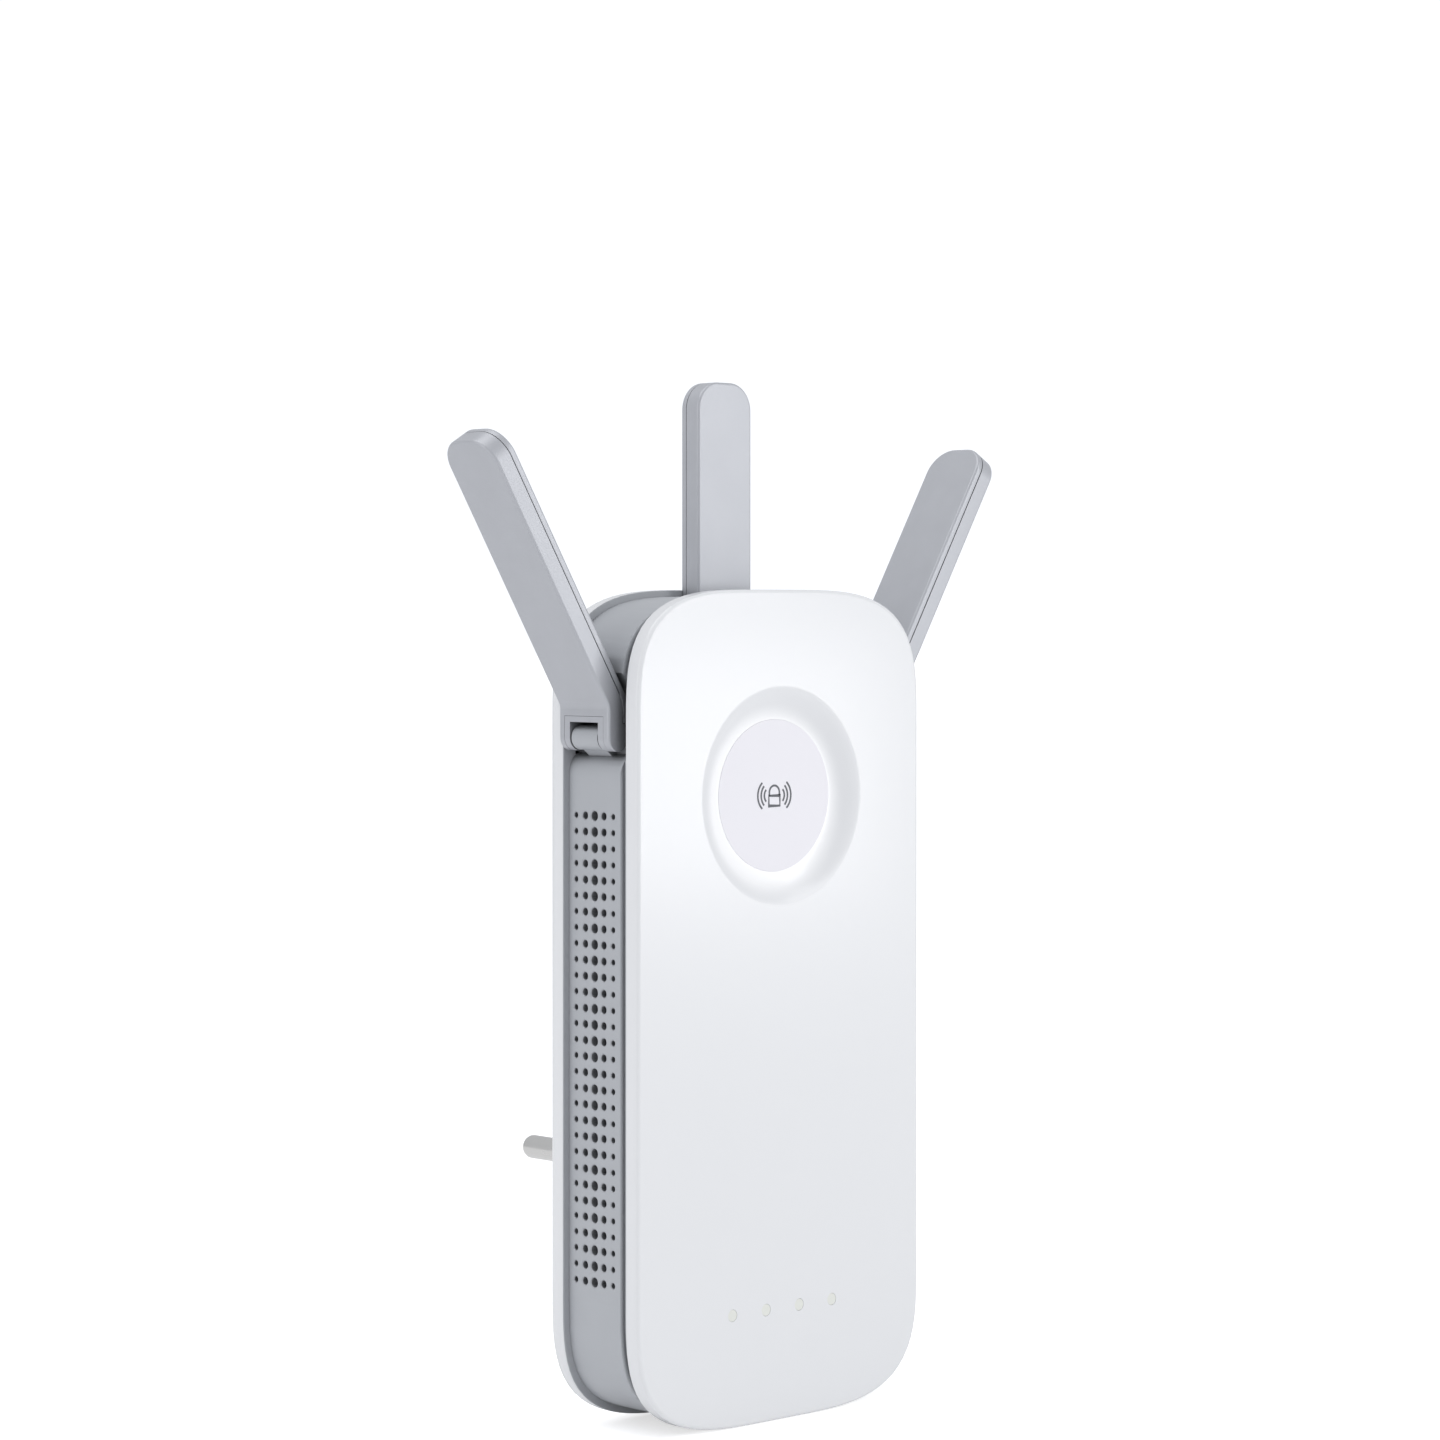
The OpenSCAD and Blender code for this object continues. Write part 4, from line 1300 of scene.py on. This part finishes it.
class EXTENDER_OT_inside_parts(bpy.types.Operator):
    """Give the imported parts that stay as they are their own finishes"""

    bl_idname = "extender.inside_parts"
    bl_label = "Inside Parts"

    def execute(self, context):
        for finish, nodes in KEPT_NODES.items():
            for node in nodes:
                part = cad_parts[node]
                part.data.materials.clear()
                part.data.materials.append(FINISHES[finish])
        return {"FINISHED"}


class EXTENDER_OT_stage(bpy.types.Operator):
    """Set up the pale floor, the studio lights and the camera"""

    bl_idname = "extender.stage"
    bl_label = "Stage"

    def execute(self, context):
        scene = context.scene
        scene.view_settings.view_transform = "Standard"
        floor_z = BOTTOM_Z - FLOOR_DROP
        signs = ((-1, -1), (1, -1), (1, 1), (-1, 1))
        corners = [(x * FLOOR_REACH, y * FLOOR_REACH, floor_z) for x, y in signs]
        floor = new_object("floor", corners, [(0, 1, 2, 3)])
        pale = material("pale_floor", (0.87, 0.87, 0.875), 0.8, grain=60.0, mottle=0.01)
        shader = pale.node_tree.nodes["Principled BSDF"]
        shader.inputs["Emission Color"].default_value = (1.0, 1.0, 1.0, 1.0)
        level = self.seen_only(pale.node_tree, *FLOOR_LEVELS)
        pale.node_tree.links.new(level, shader.inputs["Emission Strength"])
        floor.data.materials.append(pale)

        world = bpy.data.worlds.new("studio")
        world.use_nodes = True
        back = world.node_tree.nodes["Background"]
        back.inputs["Color"].default_value = (0.94, 0.96, 1.0, 1.0)
        level = self.seen_only(world.node_tree, *WORLD_LEVELS)
        world.node_tree.links.new(level, back.inputs["Strength"])
        scene.world = world

        for row in PANELS:
            self.panel(scene, *row)

        data = bpy.data.cameras.new("camera")
        data.lens = scene.extender_sizes.lens
        data.sensor_width = 36.0
        data.shift_y = CAMERA_SHIFT
        data.clip_start = 0.05
        data.clip_end = 60.0
        camera = bpy.data.objects.new("camera", data)
        camera.location = CAMERA_PLACE
        camera.rotation_euler = [math.radians(a) for a in CAMERA_TURN]
        scene.collection.objects.link(camera)
        scene.camera = camera
        return {"FINISHED"}

    def seen_only(self, tree, low, high):
        """A level that is high where the camera looks straight at a surface, else low."""
        seen = tree.nodes.new("ShaderNodeLightPath")
        level = tree.nodes.new("ShaderNodeMapRange")
        level.inputs["To Min"].default_value = low
        level.inputs["To Max"].default_value = high
        tree.links.new(seen.outputs["Is Camera Ray"], level.inputs["Value"])
        return level.outputs["Result"]

    def panel(self, scene, name, place, width, height, power):
        """An upright light panel that faces the extender."""
        data = bpy.data.lights.new(name, "AREA")
        data.shape = "RECTANGLE"
        data.size = width
        data.size_y = height
        data.energy = power
        lamp = bpy.data.objects.new(name, data)
        lamp.location = place
        lamp.rotation_mode = "QUATERNION"
        aim = Vector(PANEL_AIM) - Vector(place)
        lamp.rotation_quaternion = aim.to_track_quat("-Z", "Y")
        lamp.visible_camera = False
        scene.collection.objects.link(lamp)


class EXTENDER_PT_sidebar(bpy.types.Panel):
    """The extender's steps, sizes and colours in the 3D view's sidebar"""

    bl_idname = "EXTENDER_PT_sidebar"
    bl_label = "Range Extender"
    bl_space_type = "VIEW_3D"
    bl_region_type = "UI"
    bl_category = "Extender"

    def draw(self, context):
        for group in (context.scene.extender_sizes, context.scene.extender_colours):
            column = self.layout.column()
            for name in group.__annotations__:
                column.prop(group, name)
        for step in STEPS:
            self.layout.operator(step.bl_idname)


STEPS = (
    EXTENDER_OT_front_cover,
    EXTENDER_OT_light_ring,
    EXTENDER_OT_round_button,
    EXTENDER_OT_middle_frame,
    EXTENDER_OT_rear_cover,
    EXTENDER_OT_antennas,
    EXTENDER_OT_keys_and_plug,
    EXTENDER_OT_inside_parts,
    EXTENDER_OT_stage,
)
CLASSES = (ExtenderSizes, ExtenderColours, *STEPS, EXTENDER_PT_sidebar)


def register():
    for item in CLASSES:
        bpy.utils.register_class(item)
    bpy.types.Scene.extender_sizes = bpy.props.PointerProperty(type=ExtenderSizes)
    bpy.types.Scene.extender_colours = bpy.props.PointerProperty(type=ExtenderColours)


def unregister():
    del bpy.types.Scene.extender_colours
    del bpy.types.Scene.extender_sizes
    for item in reversed(CLASSES):
        bpy.utils.unregister_class(item)


def main():
    register()
    make_finishes(bpy.context.scene.extender_colours)
    bpy.ops.extender.front_cover()
    bpy.ops.extender.light_ring()
    bpy.ops.extender.round_button()
    bpy.ops.extender.middle_frame()
    bpy.ops.extender.rear_cover()
    bpy.ops.extender.antennas()
    bpy.ops.extender.keys_and_plug()
    bpy.ops.extender.inside_parts()
    bpy.ops.extender.stage()


if __name__ == "__main__":
    main()
